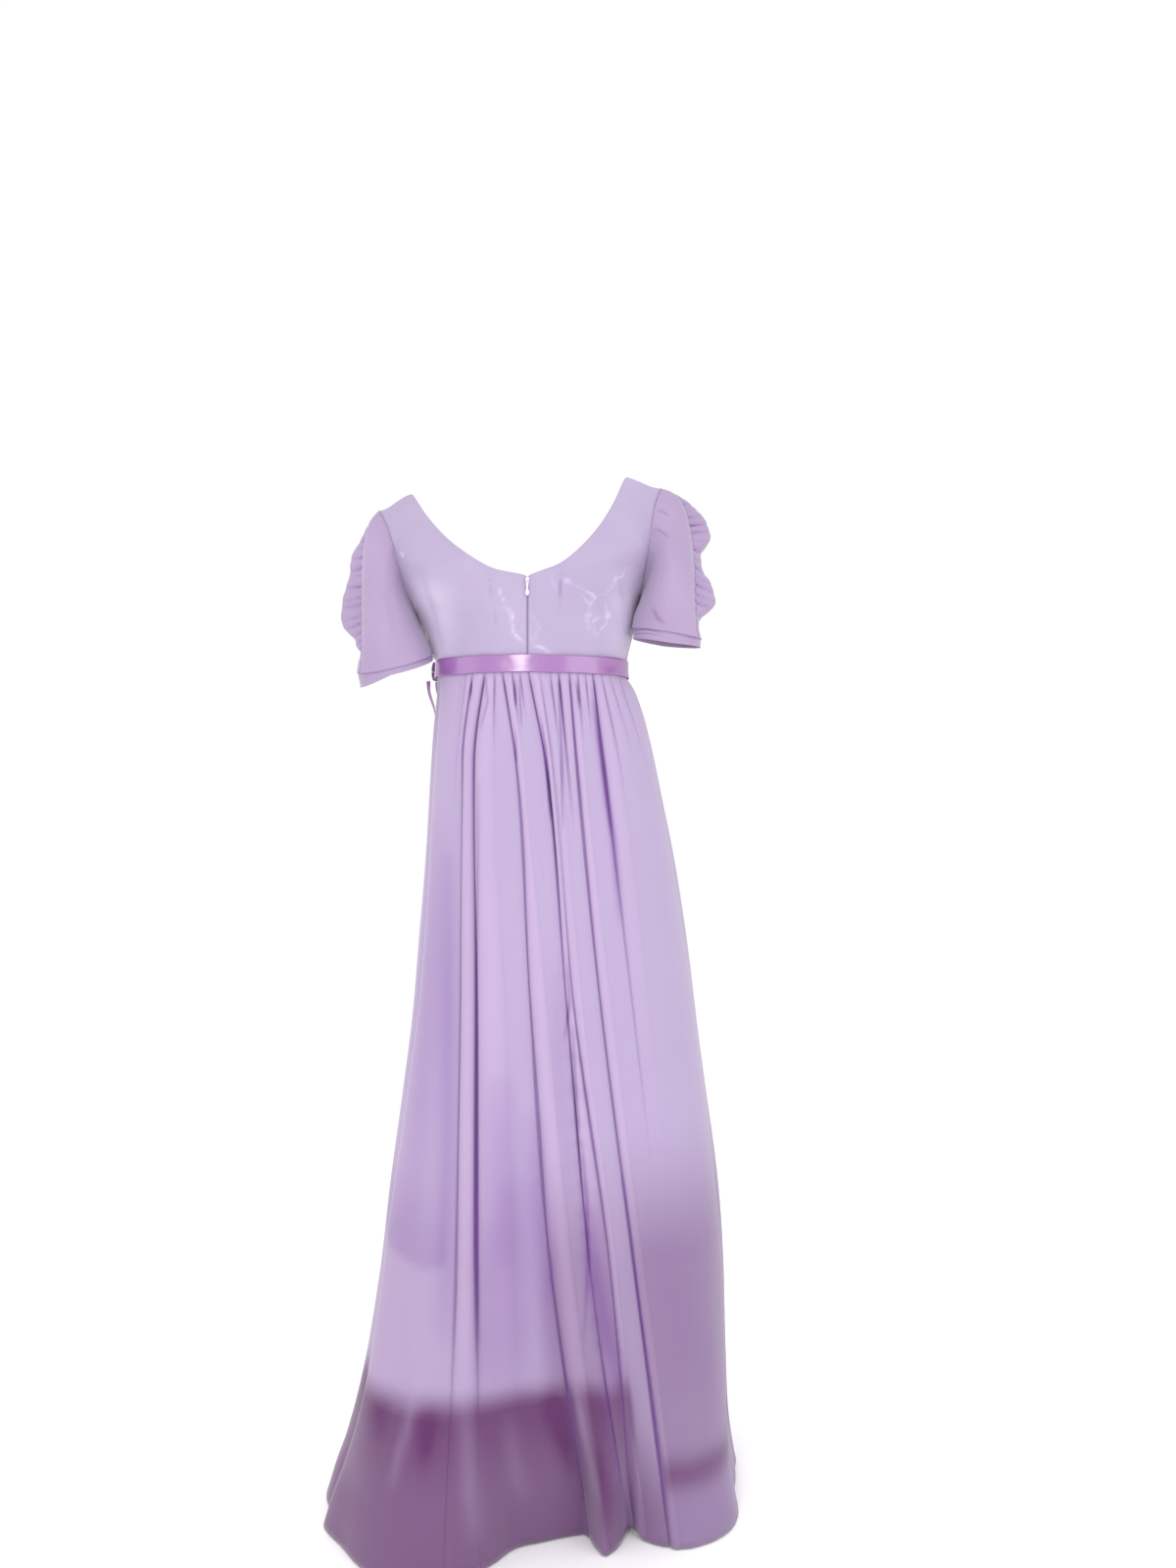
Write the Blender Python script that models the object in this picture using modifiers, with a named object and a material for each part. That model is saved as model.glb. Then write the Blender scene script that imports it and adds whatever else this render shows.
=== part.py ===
# Floor-length empire gown: fitted bodice with a zip down the back, short puffed sleeves,
# a ribbon over the high waist seam, a gathered skirt and a shorter skirt lining.
# Metres. Front of the wearer towards -Y, wearer's left towards +X, up towards +Z.
# The origin lies between the two shoulder seams, where the wearer carries the gown.
import bpy
import bmesh
from math import acos, ceil, cos, degrees, pi, radians, sin
from mathutils import Matrix, Vector

# --- cloth ---------------------------------------------------------------------------
WALL = 0.0015            # bodice and sleeve cloth
SKIRT_WALL = 0.0012      # skirt cloth
LINING_WALL = 0.0012
RIBBON_WALL = 0.0010
SEAM = 0.0004            # distance between two pieces sewn edge to edge

# --- heights and stance --------------------------------------------------------------
EMPIRE_Z = -0.2795       # seam between bodice and skirt
LINING_HEM_Z = -1.19
HEM_Z = -1.48
WAIST_X = -0.0235        # middle of the upper body where its lean starts
BACK_X = -0.0190         # line of the zip and the centre-back seam
LEAN = 4.5               # degrees the upper body leans to the wearer's left
LEAN_RISE = 0.08         # height over which the lean sets in
SHIFT = 0.0030           # how far the waist seam sits to the left of the upper body
SWAY = 0.0062            # extra width of the left side just above the ribbon

# --- skirt sections: a row for each height --------------------------------------------
SECTION = ("z", "left", "right", "back", "front", "square_back", "square_front")
SECTIONS = (
    (-0.280, 0.1215, -0.1625, 0.105, -0.115, 2.00, 2.00),
    (-0.293, 0.1210, -0.1637, 0.1066, -0.1166, 2.00, 2.00),
    (-0.303, 0.1207, -0.1705, 0.1085, -0.1185, 2.00, 2.00),
    (-0.340, 0.1225, -0.1845, 0.118, -0.124, 2.05, 2.02),
    (-0.380, 0.1250, -0.1950, 0.127, -0.131, 2.10, 2.05),
    (-0.450, 0.1290, -0.2110, 0.138, -0.140, 2.15, 2.08),
    (-0.550, 0.1350, -0.2310, 0.150, -0.150, 2.20, 2.10),
    (-0.650, 0.1410, -0.2460, 0.160, -0.158, 2.30, 2.14),
    (-0.780, 0.1510, -0.2640, 0.170, -0.168, 2.40, 2.18),
    (-0.900, 0.1670, -0.2800, 0.178, -0.177, 2.50, 2.20),
    (-1.040, 0.1850, -0.2960, 0.186, -0.188, 2.70, 2.25),
    (-1.180, 0.2000, -0.3060, 0.192, -0.200, 3.00, 2.30),
    (-1.310, 0.2190, -0.3090, 0.196, -0.212, 3.40, 2.35),
    (-1.400, 0.2430, -0.3120, 0.199, -0.222, 3.70, 2.40),
    (-1.440, 0.2580, -0.3170, 0.200, -0.228, 3.85, 2.40),
    (-1.480, 0.2700, -0.3240, 0.200, -0.235, 4.00, 2.40),
)

# --- gathers of the back: x in mm of each hollow and of the ridge after it at the levels,
# --- how deep the hollow and how high the ridge is, and the height at which both fade out
LEVELS = (-0.292, -0.42, -0.75, -1.10, -1.48)
GATHER = ("hollow", "ridge", "depth", "rise", "foot")
GATHERS = (
    ((71, 83, 92, 95, 105), (66, 79, 83, 85, 93), 0.8, 0.8, -0.75),
    ((61, 74, 73, 75, 81), (52, 66, 63, 61, 60), 1.0, 1.3, -9),
    ((43, 58, 53, 44, 37), (35, 44, 30, 21, 16), 1.3, 0.9, -9),
    ((28, 28, 9, -6, -13), (22, 13, -11, -36, -65), 0.9, 0.8, -0.60),
    ((17, 0, -28, -57, -107), (8, -7, -41, -76, -127), 1.3, 1.2, -9),
    ((3, -14, -49, -85, -134), (-3, -20, -55, -90, -140), 0.8, 0.8, -0.48),
    ((-8, -26, -61, -95, -146), (-13, -33, -67, -100, -152), 0.8, 0.9, -0.48),
    ((-20, -45, -75, -107, -161), (-28, -51, -82, -114, -168), 1.6, 1.0, -9),
    ((-36, -57, -88, -122, -175), (-44, -62, -93, -129, -180), 0.9, 1.1, -9),
    ((-51, -67, -98, -135, -186), (-57, -71, -102, -140, -191), 0.8, 0.8, -0.50),
    ((-63, -76, -107, -146, -197), (-70, -82, -113, -153, -204), 1.1, 1.0, -0.80),
    ((-78, -89, -122, -167, -216), (-84, -95, -129, -174, -223), 1.4, 1.0, -9),
    ((-90, -101, -137, -181, -231), (-95, -107, -145, -187, -238), 0.9, 0.8, -0.55),
    ((-101, -114, -153, -194, -246), (-106, -121, -160, -200, -252), 0.8, 0.8, -0.50),
    ((-112, -129, -168, -207, -258), (-118, -138, -179, -215, -264), 1.0, 0.9, -1.20),
    ((-124, -150, -190, -226, -270), (-130, -161, -200, -236, -276), 0.8, 0.7, -0.60),
    ((-136, -171, -210, -246, -282), (-143, -180, -220, -255, -288), 0.7, 0.6, -0.50),
    ((-150, -188, -229, -264, -294), (-156, -196, -238, -273, -300), 0.7, 0.6, -0.60),
)
SEAM_GATHER = 7          # the hollow that holds the centre-back seam

# --- soft folds of the sides and the front: turn in degrees, 0 at the left side -------
FOLD = ("turn_waist", "turn_hem", "strength")
FOLDS = (
    (176, 176, -0.5),
    (184, 186, 0.6),
    (193, 198, -0.6),
    (203, 210, 0.7),
    (215, 222, -0.6),
    (228, 234, 0.5),
    (240, 245, -0.5),
    (252, 256, 0.6),
    (262, 266, -0.6),
    (273, 276, 0.6),
    (285, 287, -0.5),
    (298, 298, 0.6),
    (310, 309, -0.6),
    (322, 320, 0.7),
    (333, 331, -0.5),
    (344, 342, 0.5),
    (353, 352, -0.5),
    (362, 363, 0.6),
    (374, 375, -0.5),
    (388, 388, 0.7),
)
LEFT_SEAM_FOLD = 16      # hollow holding the left side seam
RIGHT_SEAM_FOLD = 0      # hollow holding the right side seam

# --- how far gathers stand out, by height ---------------------------------------------
RELIEF = ((-0.2798, 0.0), (-0.2925, 0.0006), (-0.305, 0.0024), (-0.34, 0.0045), (-0.42, 0.0065),
          (-0.75, 0.0080), (-1.10, 0.0095), (-1.48, 0.0120))
STEEPEST = 0.36          # largest relief as a share of the distance between hollow and ridge

# --- spread of the hem on the floor: x and extra reach to the back, in mm --------------
SWEEP = ((-330, 0), (-244, 0), (-224, -5), (-193, -20), (-175, -34), (-163, -44), (-150, -22),
         (-128, 0), (-117, -12), (-97, -42), (-43, -28), (-2, -10), (17, 13), (47, 42),
         (83, 62), (145, 60), (200, 34), (232, 6), (270, 0))
SWEEP_TOP_Z = -1.10

SKIRT_ROWS = (-0.2799, -0.2925, -0.305, -0.325, -0.36, -0.42, -0.52, -0.64, -0.77, -0.90,
              -1.04, -1.17, -1.28, -1.37, -1.43, -1.48)

# --- bodice ribs, from the waist seam to the shoulder seam, before the lean -------------
RIB = ("x_in", "y_in", "z_in", "x_out", "y_out", "z_out", "flat")
BACK_RIBS = (
    (0.000, 0.1050, -0.2795, 0.1420, 0.000, -0.2795, 0.00),
    (0.000, 0.1054, -0.2620, 0.1422, 0.000, -0.2620, 0.00),
    (0.000, 0.1065, -0.2350, 0.1512, 0.000, -0.2300, 0.00),
    (0.000, 0.1060, -0.1920, 0.1680, 0.000, -0.1800, 0.05),
    (0.000, 0.1054, -0.1760, 0.1690, 0.017, -0.1765, 0.08),
    (0.000, 0.1040, -0.1570, 0.1790, 0.036, -0.1400, 0.15),
    (0.052, 0.1010, -0.1370, 0.1850, 0.046, -0.1120, 0.30),
    (0.100, 0.0860, -0.0975, 0.1905, 0.044, -0.0820, 0.50),
    (0.1345, 0.0550, -0.0510, 0.1990, 0.032, -0.0510, 0.75),
    (0.1565, 0.0300, -0.0098, 0.2095, 0.018, -0.0268, 1.00),
    (0.1600, 0.0180, -0.0086, 0.2120, 0.008, -0.0256, 1.00),
)
FRONT_RIBS = (
    (0.000, -0.1150, -0.2795, 0.1420, 0.000, -0.2795, 0.00),
    (0.000, -0.1162, -0.2620, 0.1422, 0.000, -0.2620, 0.00),
    (0.000, -0.1330, -0.2350, 0.1512, 0.000, -0.2300, 0.00),
    (0.000, -0.1380, -0.1950, 0.1680, 0.000, -0.1800, 0.05),
    (0.000, -0.1360, -0.1780, 0.1685, -0.017, -0.1765, 0.08),
    (0.000, -0.1300, -0.1560, 0.1765, -0.036, -0.1400, 0.15),
    (0.060, -0.1200, -0.1440, 0.1790, -0.048, -0.1120, 0.30),
    (0.105, -0.0960, -0.1040, 0.1860, -0.044, -0.0820, 0.50),
    (0.1370, -0.0560, -0.0540, 0.1965, -0.022, -0.0510, 0.75),
    (0.1565, 0.0060, -0.0098, 0.2095, -0.002, -0.0268, 1.00),
    (0.1600, 0.0180, -0.0086, 0.2120, 0.008, -0.0256, 1.00),
)
NECK_RIB = 5
ARMPIT_RIB = 3
TOP_RIB = len(BACK_RIBS) - 1

# --- where the bodice rows and columns and the sleeve rows and columns lie ---------------
UP_STOPS = (0, 1, 2, 2.5, 3, 3.4, 4, 4.5, 5, 5.5, 6, 6.5, 7, 7.5, 8, 8.35, 8.7, 9, 9.5, 10)
ACROSS_STOPS = (0, 0.12, 0.24, 0.36, 0.48, 0.60, 0.72, 0.83, 0.93, 1)
DOWN_STOPS = (0, 0.12, 0.24, 0.36, 0.46, 0.54, 0.62, 0.70, 0.78, 0.85, 0.92, 1)
AROUND_STOPS = [(up - ARMPIT_RIB) / (TOP_RIB - ARMPIT_RIB) for up in UP_STOPS if up >= ARMPIT_RIB]

# --- sleeves: sizes of the cuff ring, before the lean -----------------------------------
SLEEVE = ("side", "sign", "x", "z", "half_width", "half_depth", "drop", "tilt", "head", "foot", "band", "band_out")
SLEEVES = (
    ("left", 1, 0.2028, -0.2534, 0.0555, 0.0500, 8.5, 15.5, 0.040, -0.016, 0.0110, 0.0243),
    ("right", -1, 0.2013, -0.2419, 0.0502, 0.0480, 14.5, 3.5, 0.062, -0.003, 0.0181, 0.0141),
)
SLEEVE_Y = 0.034
CUFF_SLANT = 6.0
OUTER_SEAM = 30.0
# how far the front half puffs out past the outer seam: place down the seam, reach
PUFFS = {
    "left": ((0.0, 0.0), (0.20, 0.0039), (0.30, 0.0111), (0.385, 0.0193), (0.503, 0.0212), (0.615, 0.0279),
             (0.687, 0.0287), (0.757, 0.0223), (0.81, 0.0080), (0.862, 0.0036), (0.89, -0.0030), (0.94, 0.0020),
             (1.0, 0.0)),
    "right": ((0.0, 0.0), (0.15, 0.0089), (0.27, 0.0187), (0.36, 0.0270), (0.47, 0.0256), (0.51, 0.0139),
              (0.545, 0.0098), (0.61, 0.0095), (0.675, 0.0189), (0.738, 0.0237), (0.79, 0.0252), (0.84, 0.0154),
              (0.875, 0.0038), (1.0, 0.0)),
}

# --- ribbon -----------------------------------------------------------------------------
RIBBON_TOP_Z = -0.2665
RIBBON_FOOT_Z = -0.2918
RIBBON_LIFT = 0.0019
KNOT_TURN = 350.0
KNOT_SIZE = (0.021, 0.009, 0.029)
TAIL = ("name", "turn", "spread", "foot_z", "bulge")
TAILS = (
    ("ribbon_tail_long", 353.6, 5.0, -0.545, 0.0120),
    ("ribbon_tail_short", 346.8, -6.5, -0.490, 0.0040),
)
TAIL_WIDTH = 0.024
TAIL_NECK = 0.011        # ribbon width where it leaves the knot

# --- zip --------------------------------------------------------------------------------
ZIP_GAP = 0.0006         # slot between the two back halves
TAPE_HALF = 0.011
TAPE_WALL = 0.0008
SLIDER_SIZE = (0.0050, 0.0026, 0.0090)
SLIDER_Z = -0.1620
ARCH_RADIUS = 0.0017
ARCH_BAR = 0.0009
PULL_LENGTH = 0.0215
PULL_WALL = 0.0008
PULL_NECK = 0.0019       # half width beside the window
PULL_HEAD = 0.0024       # half width of the drop
PULL_EYE = (0.0011, 0.0006, 0.0029)


def clear():
    for thing in list(bpy.data.objects):
        bpy.data.objects.remove(thing, do_unlink=True)
    for group in list(bpy.data.collections):
        bpy.data.collections.remove(group)


def material(name, color, roughness, sheen=0.0, metallic=0.0):
    made = bpy.data.materials.new(name)
    made.use_nodes = True
    shader = made.node_tree.nodes["Principled BSDF"]
    shader.inputs["Base Color"].default_value = (*color, 1.0)
    shader.inputs["Roughness"].default_value = roughness
    shader.inputs["Metallic"].default_value = metallic
    shader.inputs["Sheen Weight"].default_value = sheen
    made.diffuse_color = (*color, 1.0)
    return made


def ease(t):
    t = min(1.0, max(0.0, t))
    return t * t * (3 - 2 * t)


def mix(a, b, t):
    return a + (b - a) * t


def spline(xs, ys, x):
    """Smooth curve through the rows (xs rising)."""
    if x <= xs[0]:
        return ys[0]
    if x >= xs[-1]:
        return ys[-1]
    i = max(k for k in range(len(xs) - 1) if xs[k] <= x)
    step = xs[i + 1] - xs[i]
    rise = (ys[i + 1] - ys[i]) / step
    before = (ys[i] - ys[i - 1]) / (xs[i] - xs[i - 1]) if i > 0 else rise
    after = (ys[i + 2] - ys[i + 1]) / (xs[i + 2] - xs[i + 1]) if i + 2 < len(xs) else rise
    m0 = 0.5 * (before + rise) if before * rise > 0 else 0.0
    m1 = 0.5 * (after + rise) if after * rise > 0 else 0.0
    t = (x - xs[i]) / step
    return ((2 * t**3 - 3 * t**2 + 1) * ys[i] + (t**3 - 2 * t**2 + t) * step * m0
            + (3 * t**2 - 2 * t**3) * ys[i + 1] + (t**3 - t**2) * step * m1)


def by_height(rows, index, z):
    return spline([-row[0] for row in rows], [row[index] for row in rows], -z)


# ------------------------------------------------------------------------- skirt surface
def section(z):
    return {name: by_height(SECTIONS, i, z) for i, name in enumerate(SECTION) if i}


def ring_point(size, turn):
    """Point of a section ring at a turn in degrees, 0 at the left side, 90 at the back."""
    middle = (size["left"] + size["right"]) / 2
    half = (size["left"] - size["right"]) / 2
    c = cos(radians(turn))
    s = sin(radians(turn))
    back = s > 0
    power = 2 / (size["square_back"] if back else size["square_front"])
    reach = size["back"] if back else size["front"]
    x = middle + half * (1 if c > 0 else -1) * abs(c) ** power
    return Vector((x, reach * abs(s) ** power, 0.0))


def ring_out(size, turn):
    """Level direction pointing out of a section ring."""
    along = ring_point(size, turn + 1.0) - ring_point(size, turn - 1.0)
    return Vector((along.y, -along.x, 0.0)).normalized()


def turn_of(size, x):
    """Turn at which the back half of a section ring reaches x."""
    middle = (size["left"] + size["right"]) / 2
    half = (size["left"] - size["right"]) / 2
    q = min(0.9995, max(-0.9995, (x - middle) / half))
    c = abs(q) ** (size["square_back"] / 2)
    return degrees(acos(c if q > 0 else -c))


def fold_marks(z):
    """Turn and relief of every hollow and ridge at a height, once round the skirt."""
    size = section(z)
    levels = [-level for level in LEVELS]
    marks = []
    for hollow, ridge, depth, rise, foot in GATHERS:
        left = 1 - 0.95 * ease((EMPIRE_Z - z) / (EMPIRE_Z - foot))
        for places, height in ((hollow, -depth), (ridge, rise)):
            x = spline(levels, places, -z) / 1000
            marks.append([turn_of(size, x), height * left])
    share = (EMPIRE_Z - z) / (EMPIRE_Z - HEM_Z)
    for waist, hem, strength in FOLDS:
        marks.append([mix(waist, hem, share), strength])
    relief = by_height(RELIEF, 1, z)
    count = len(marks)
    marks.append([marks[0][0] + 360, marks[0][1]])
    for i in range(1, count + 1):
        marks[i][0] = max(marks[i][0], marks[i - 1][0] + 0.5)
    spots = [ring_point(size, turn) for turn, sign in marks]
    gaps = [(spots[i + 1] - spots[i]).length for i in range(count)]
    for i in range(count):
        room = STEEPEST * min(gaps[i], gaps[i - 1])
        marks[i][1] = max(-room, min(room, marks[i][1] * relief))
    marks[count] = [marks[0][0] + 360, marks[0][1]]
    return marks


def skirt_point(z, mark, share, marks, size):
    turn = mix(marks[mark][0], marks[mark + 1][0], share)
    lift = mix(marks[mark][1], marks[mark + 1][1], 0.5 - 0.5 * cos(pi * share))
    return draped(size, turn, z, lift)


def draped(size, turn, z, lift):
    spot = ring_point(size, turn) + ring_out(size, turn) * lift
    spread = ease((SWEEP_TOP_Z - z) / (SWEEP_TOP_Z - HEM_Z)) ** 1.4
    if sin(radians(turn)) > 0:
        reach = spline([row[0] / 1000 for row in SWEEP], [row[1] / 1000 for row in SWEEP], spot.x)
        spot.y += reach * spread
    spot.z = z
    return spot


def surface(turn, z, out):
    """Outer face of the skirt at any turn, moved out."""
    size = section(z)
    marks = fold_marks(z)
    place = (turn - marks[0][0]) % 360 + marks[0][0]
    i = max(k for k in range(len(marks) - 1) if marks[k][0] <= place)
    share = (place - marks[i][0]) / (marks[i + 1][0] - marks[i][0])
    lift = mix(marks[i][1], marks[i + 1][1], 0.5 - 0.5 * cos(pi * share))
    return draped(size, place, z, lift + out)


# ------------------------------------------------------------------------ bodice surface
def lean(point, full=False):
    height = point.z - EMPIRE_Z
    angle = radians(LEAN) * (1.0 if full else ease(height / LEAN_RISE))
    x = WAIST_X + point.x * cos(angle) + height * sin(angle)
    z = EMPIRE_Z + height * cos(angle) - point.x * sin(angle)
    if not full:
        shift = SHIFT * (1 - ease((height - 0.014) / 0.04))
        swell = SWAY * ease((height - 0.014) / 0.010) * ease((0.068 - height) / 0.036)
        middle = WAIST_X + shift + height * sin(angle)
        x += shift + swell * (max(0.0, point.x) / 0.15) ** 2
        x += (BACK_X - middle) * ease(1 - abs(point.x) / 0.165)
    return Vector((x, point.y, z))


def rib_at(ribs, up):
    steps = list(range(len(ribs)))
    values = []
    for i, name in enumerate(RIB):
        low = ARMPIT_RIB if "out" in name and up > ARMPIT_RIB else 0
        values.append(spline(steps[low:], [rib[i] for rib in ribs[low:]], up))
    return dict(zip(RIB, values))


def upright(ribs, across, up):
    """Bodice point before the lean; across runs from the centre or neck edge to the side."""
    rib = rib_at(ribs, up)
    inner = Vector((rib["x_in"], rib["y_in"]))
    outer = Vector((rib["x_out"], rib["y_out"]))
    reach = outer - inner
    flat = rib["flat"]
    first = (inner + Vector((0.552 * reach.x, 0))).lerp(inner + reach / 3, flat)
    last = (outer - Vector((0, 0.552 * reach.y))).lerp(outer - reach / 3, flat)
    t = across
    spot = inner * (1 - t)**3 + first * 3 * t * (1 - t)**2 + last * 3 * t * t * (1 - t) + outer * t**3
    return Vector((spot.x, spot.y, mix(rib["z_in"], rib["z_out"], ease(t))))


def bodice_point(ribs, sign, across, up):
    point = upright(ribs, across, up)
    point.x *= sign
    return lean(point)


# ------------------------------------------------------------------------ sheet builders
def finish(name, mesh, look, smooth=True):
    thing = bpy.data.objects.new(name, mesh)
    PART.objects.link(thing)
    mesh.materials.append(look)
    for face in mesh.polygons:
        face.use_smooth = smooth
    return thing


def thicken(thing, wall):
    solid = thing.modifiers.new("wall", "SOLIDIFY")
    solid.thickness = wall
    solid.offset = -1.0
    solid.use_even_offset = False
    return thing


def sheet(name, grids, look, wall, closed=False, weld=0.0):
    """Open cloth surface from rows of points, given a wall on its inner side."""
    verts = []
    faces = []
    for rows in grids:
        base = len(verts)
        wide = len(rows[0])
        for row in rows:
            verts.extend(row)
        for r in range(len(rows) - 1):
            for c in range(wide if closed else wide - 1):
                d = (c + 1) % wide
                quad = [base + r * wide + c, base + r * wide + d,
                        base + (r + 1) * wide + d, base + (r + 1) * wide + c]
                faces.append(quad)
    mesh = bpy.data.meshes.new(name)
    mesh.from_pydata([tuple(v) for v in verts], [], faces)
    body = bmesh.new()
    body.from_mesh(mesh)
    if weld:
        bmesh.ops.remove_doubles(body, verts=body.verts, dist=weld)
    bmesh.ops.recalc_face_normals(body, faces=body.faces)
    body.normal_update()
    body.faces.ensure_lookup_table()
    probe = body.faces[0]
    if probe.normal.dot(outward(name, probe.calc_center_median())) < 0:
        bmesh.ops.reverse_faces(body, faces=body.faces)
    body.to_mesh(mesh)
    body.free()
    return thicken(finish(name, mesh, look), wall)


def outward(name, spot):
    """Rough outward direction used to turn each sheet's faces the right way."""
    if name.startswith(("sleeve", "cuff")):
        sign = 1 if "left" in name else -1
        axis = lean(Vector((sign * 0.203, SLEEVE_Y, spot.z)), True)
        return Vector((spot.x - axis.x, spot.y - axis.y, 0))
    return Vector((spot.x - WAIST_X, spot.y, 0))


# ------------------------------------------------------------------------------- pieces
def column_plan():
    """Columns of the skirt: mark and share between marks, closer where the hem is wide."""
    size = section(HEM_Z)
    marks = fold_marks(HEM_Z)
    plan = []
    for i in range(len(marks) - 1):
        gap = (ring_point(size, marks[i + 1][0]) - ring_point(size, marks[i][0])).length
        parts = max(2, ceil(gap / 0.036))
        plan.extend((i, k / parts) for k in range(parts))
    return plan


def skirt_panel(name, first, last, look):
    """Overskirt piece between two marks, cut back a little at both seams."""
    plan = column_plan()
    total = len(GATHERS) * 2 + len(FOLDS)
    picked = []
    for lap in (0, 1):
        for mark, share in plan:
            if first <= mark + lap * total < last:
                picked.append((mark, share, lap))
    picked.append((last % total, 0.0, last // total))
    rows = []
    for z in SKIRT_ROWS:
        size = section(z)
        marks = fold_marks(z)
        row = [skirt_point(z, mark, share, marks, size) for mark, share, lap in picked]
        row[0] = row[0] + (row[1] - row[0]).normalized() * SEAM / 2
        row[-1] = row[-1] + (row[-2] - row[-1]).normalized() * SEAM / 2
        rows.append(row)
    for point in rows[-1]:
        notch = 1 - min(1.0, abs(point.x + 0.163) / 0.02)
        point.z += 0.014 * ease(notch)
    return sheet(name, [rows], look, SKIRT_WALL)


def skirt_lining(look):
    rows = []
    count = 44
    for k in range(8):
        z = mix(EMPIRE_Z - 0.0006, LINING_HEM_Z, (k / 7) ** 1.35)
        size = section(z)
        inset = 0.0026 + 0.0145 * ease((EMPIRE_Z - z) / 0.08)
        row = []
        for i in range(count):
            turn = 360 * i / count
            spot = ring_point(size, turn) - ring_out(size, turn) * inset
            row.append(Vector((spot.x, spot.y, z)))
        rows.append(row)
    return sheet("skirt_lining", [rows], look, LINING_WALL, closed=True)


def bodice_grid(ribs, sign):
    rows = []
    for up in UP_STOPS:
        rows.append([bodice_point(ribs, sign, across, up) for across in ACROSS_STOPS])
    return rows


def pull_in(rows, edge, amount):
    """Cut one edge of a grid back along its own surface."""
    for row in rows if edge in ("first", "last") else ():
        a, b = (0, 1) if edge == "first" else (-1, -2)
        row[a] = row[a] + (row[b] - row[a]).normalized() * amount
    if edge == "top":
        rows[-1] = [p + (q - p).normalized() * amount for p, q in zip(rows[-1], rows[-2])]
    return rows


def bodice_back(side, sign, look):
    rows = bodice_grid(BACK_RIBS, sign)
    for row, up in zip(rows, UP_STOPS):
        if up <= NECK_RIB:
            row[0].x += sign * ZIP_GAP / 2
    pull_in(rows, "last", SEAM / 2)
    pull_in(rows, "top", SEAM / 2)
    return sheet("bodice_back_" + side, [rows], look, WALL)


def bodice_front(look):
    grids = []
    for sign in (1, -1):
        rows = bodice_grid(FRONT_RIBS, sign)
        pull_in(rows, "last", SEAM / 2)
        pull_in(rows, "top", SEAM / 2)
        grids.append(rows)
    return sheet("bodice_front", grids, look, WALL, weld=0.00005)


def cuff_point(sleeve, angle, low):
    """Cuff ring point before the lean; angle 0 outer, 90 back, 180 against the body."""
    drop = radians(sleeve["drop"])
    tilt = radians(sleeve["tilt"])
    a = radians(angle)
    band = mix(sleeve["band"], sleeve["band_out"], max(0.0, cos(a))) * low
    wide = sleeve["half_width"] * cos(a)
    deep = sleeve["half_depth"] * sin(a)
    return Vector((sleeve["x"] + wide * cos(drop) - sin(radians(CUFF_SLANT)) * band,
                   SLEEVE_Y + deep * cos(tilt),
                   sleeve["z"] - wide * sin(drop) - deep * sin(tilt) - band))


def sleeve_point(sleeve, ribs, around, down):
    """Sleeve point before the lean; around 0 at the armpit and 1 at the outer seam."""
    start = upright(ribs, 1.0, mix(ARMPIT_RIB, TOP_RIB, around))
    back = ribs is BACK_RIBS
    angle = mix(180 if back else -180, OUTER_SEAM, around)
    end = cuff_point(sleeve, angle, 0.0)
    rise = ease(around)
    y_out = 0.016 * sin(pi * around) * (1 if back else -1)
    first = start + Vector((mix(0.003, sleeve["head"], rise), y_out, mix(-0.008, -0.012, rise)))
    c = cos(radians(angle))
    s = sin(radians(angle))
    last = end + Vector((c * sleeve["foot"], s * 0.026, 0.0)) * (0.05 + 0.95 * rise)
    last.z += mix(0.022, 0.070, rise)
    t = down
    point = start * (1 - t)**3 + first * 3 * t * (1 - t)**2 + last * 3 * t * t * (1 - t) + end * t**3
    off = 1 - around
    near = 0.0 if back else ease(off / 0.12) * ease((0.62 - off) / 0.42)
    rows = PUFFS[sleeve["side"]]
    bulge = spline([row[0] for row in rows], [row[1] for row in rows], down) * near
    return point + Vector((c, s, 0.0)) * bulge


def sleeve_panel(sleeve, part, ribs, look):
    rows = []
    for down in DOWN_STOPS:
        row = []
        for around in AROUND_STOPS:
            point = sleeve_point(sleeve, ribs, around, down)
            point.x *= sleeve["sign"]
            row.append(lean(point, True))
        rows.append(row)
    for down, row in zip(DOWN_STOPS, rows):
        under = SEAM / 2 + 0.0006 * (1 - down) ** 2
        row[0] = row[0] + (row[1] - row[0]).normalized() * under
    pull_in(rows, "last", SEAM * 1.1)
    rows[0] = [p + (q - p).normalized() * SEAM * 2 for p, q in zip(rows[0], rows[1])]
    rows[-1] = [p + (q - p).normalized() * 1.5 * SEAM for p, q in zip(rows[-1], rows[-2])]
    return sheet("sleeve_" + sleeve["side"] + "_" + part, [rows], look, WALL)


def cuff_band(sleeve, look):
    rows = []
    for low in (0.0, 1.0):
        row = []
        for k in range(28):
            point = cuff_point(sleeve, 360 * k / 28, low)
            point.x *= sleeve["sign"]
            row.append(lean(point, True))
        rows.append(row)
    return sheet("cuff_" + sleeve["side"], [rows], look, WALL, closed=True)


def waist_ribbon(look):
    rows = []
    size = section(-0.280)
    for z, lift in ((RIBBON_TOP_Z, RIBBON_LIFT), (RIBBON_FOOT_Z, RIBBON_LIFT + 0.0010)):
        row = []
        for k in range(72):
            turn = 360 * k / 72
            spot = ring_point(size, turn) + ring_out(size, turn) * (lift + RIBBON_WALL)
            row.append(Vector((spot.x, spot.y, z)))
        rows.append(row)
    return sheet("waist_ribbon", [rows], look, RIBBON_WALL, closed=True)


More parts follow.
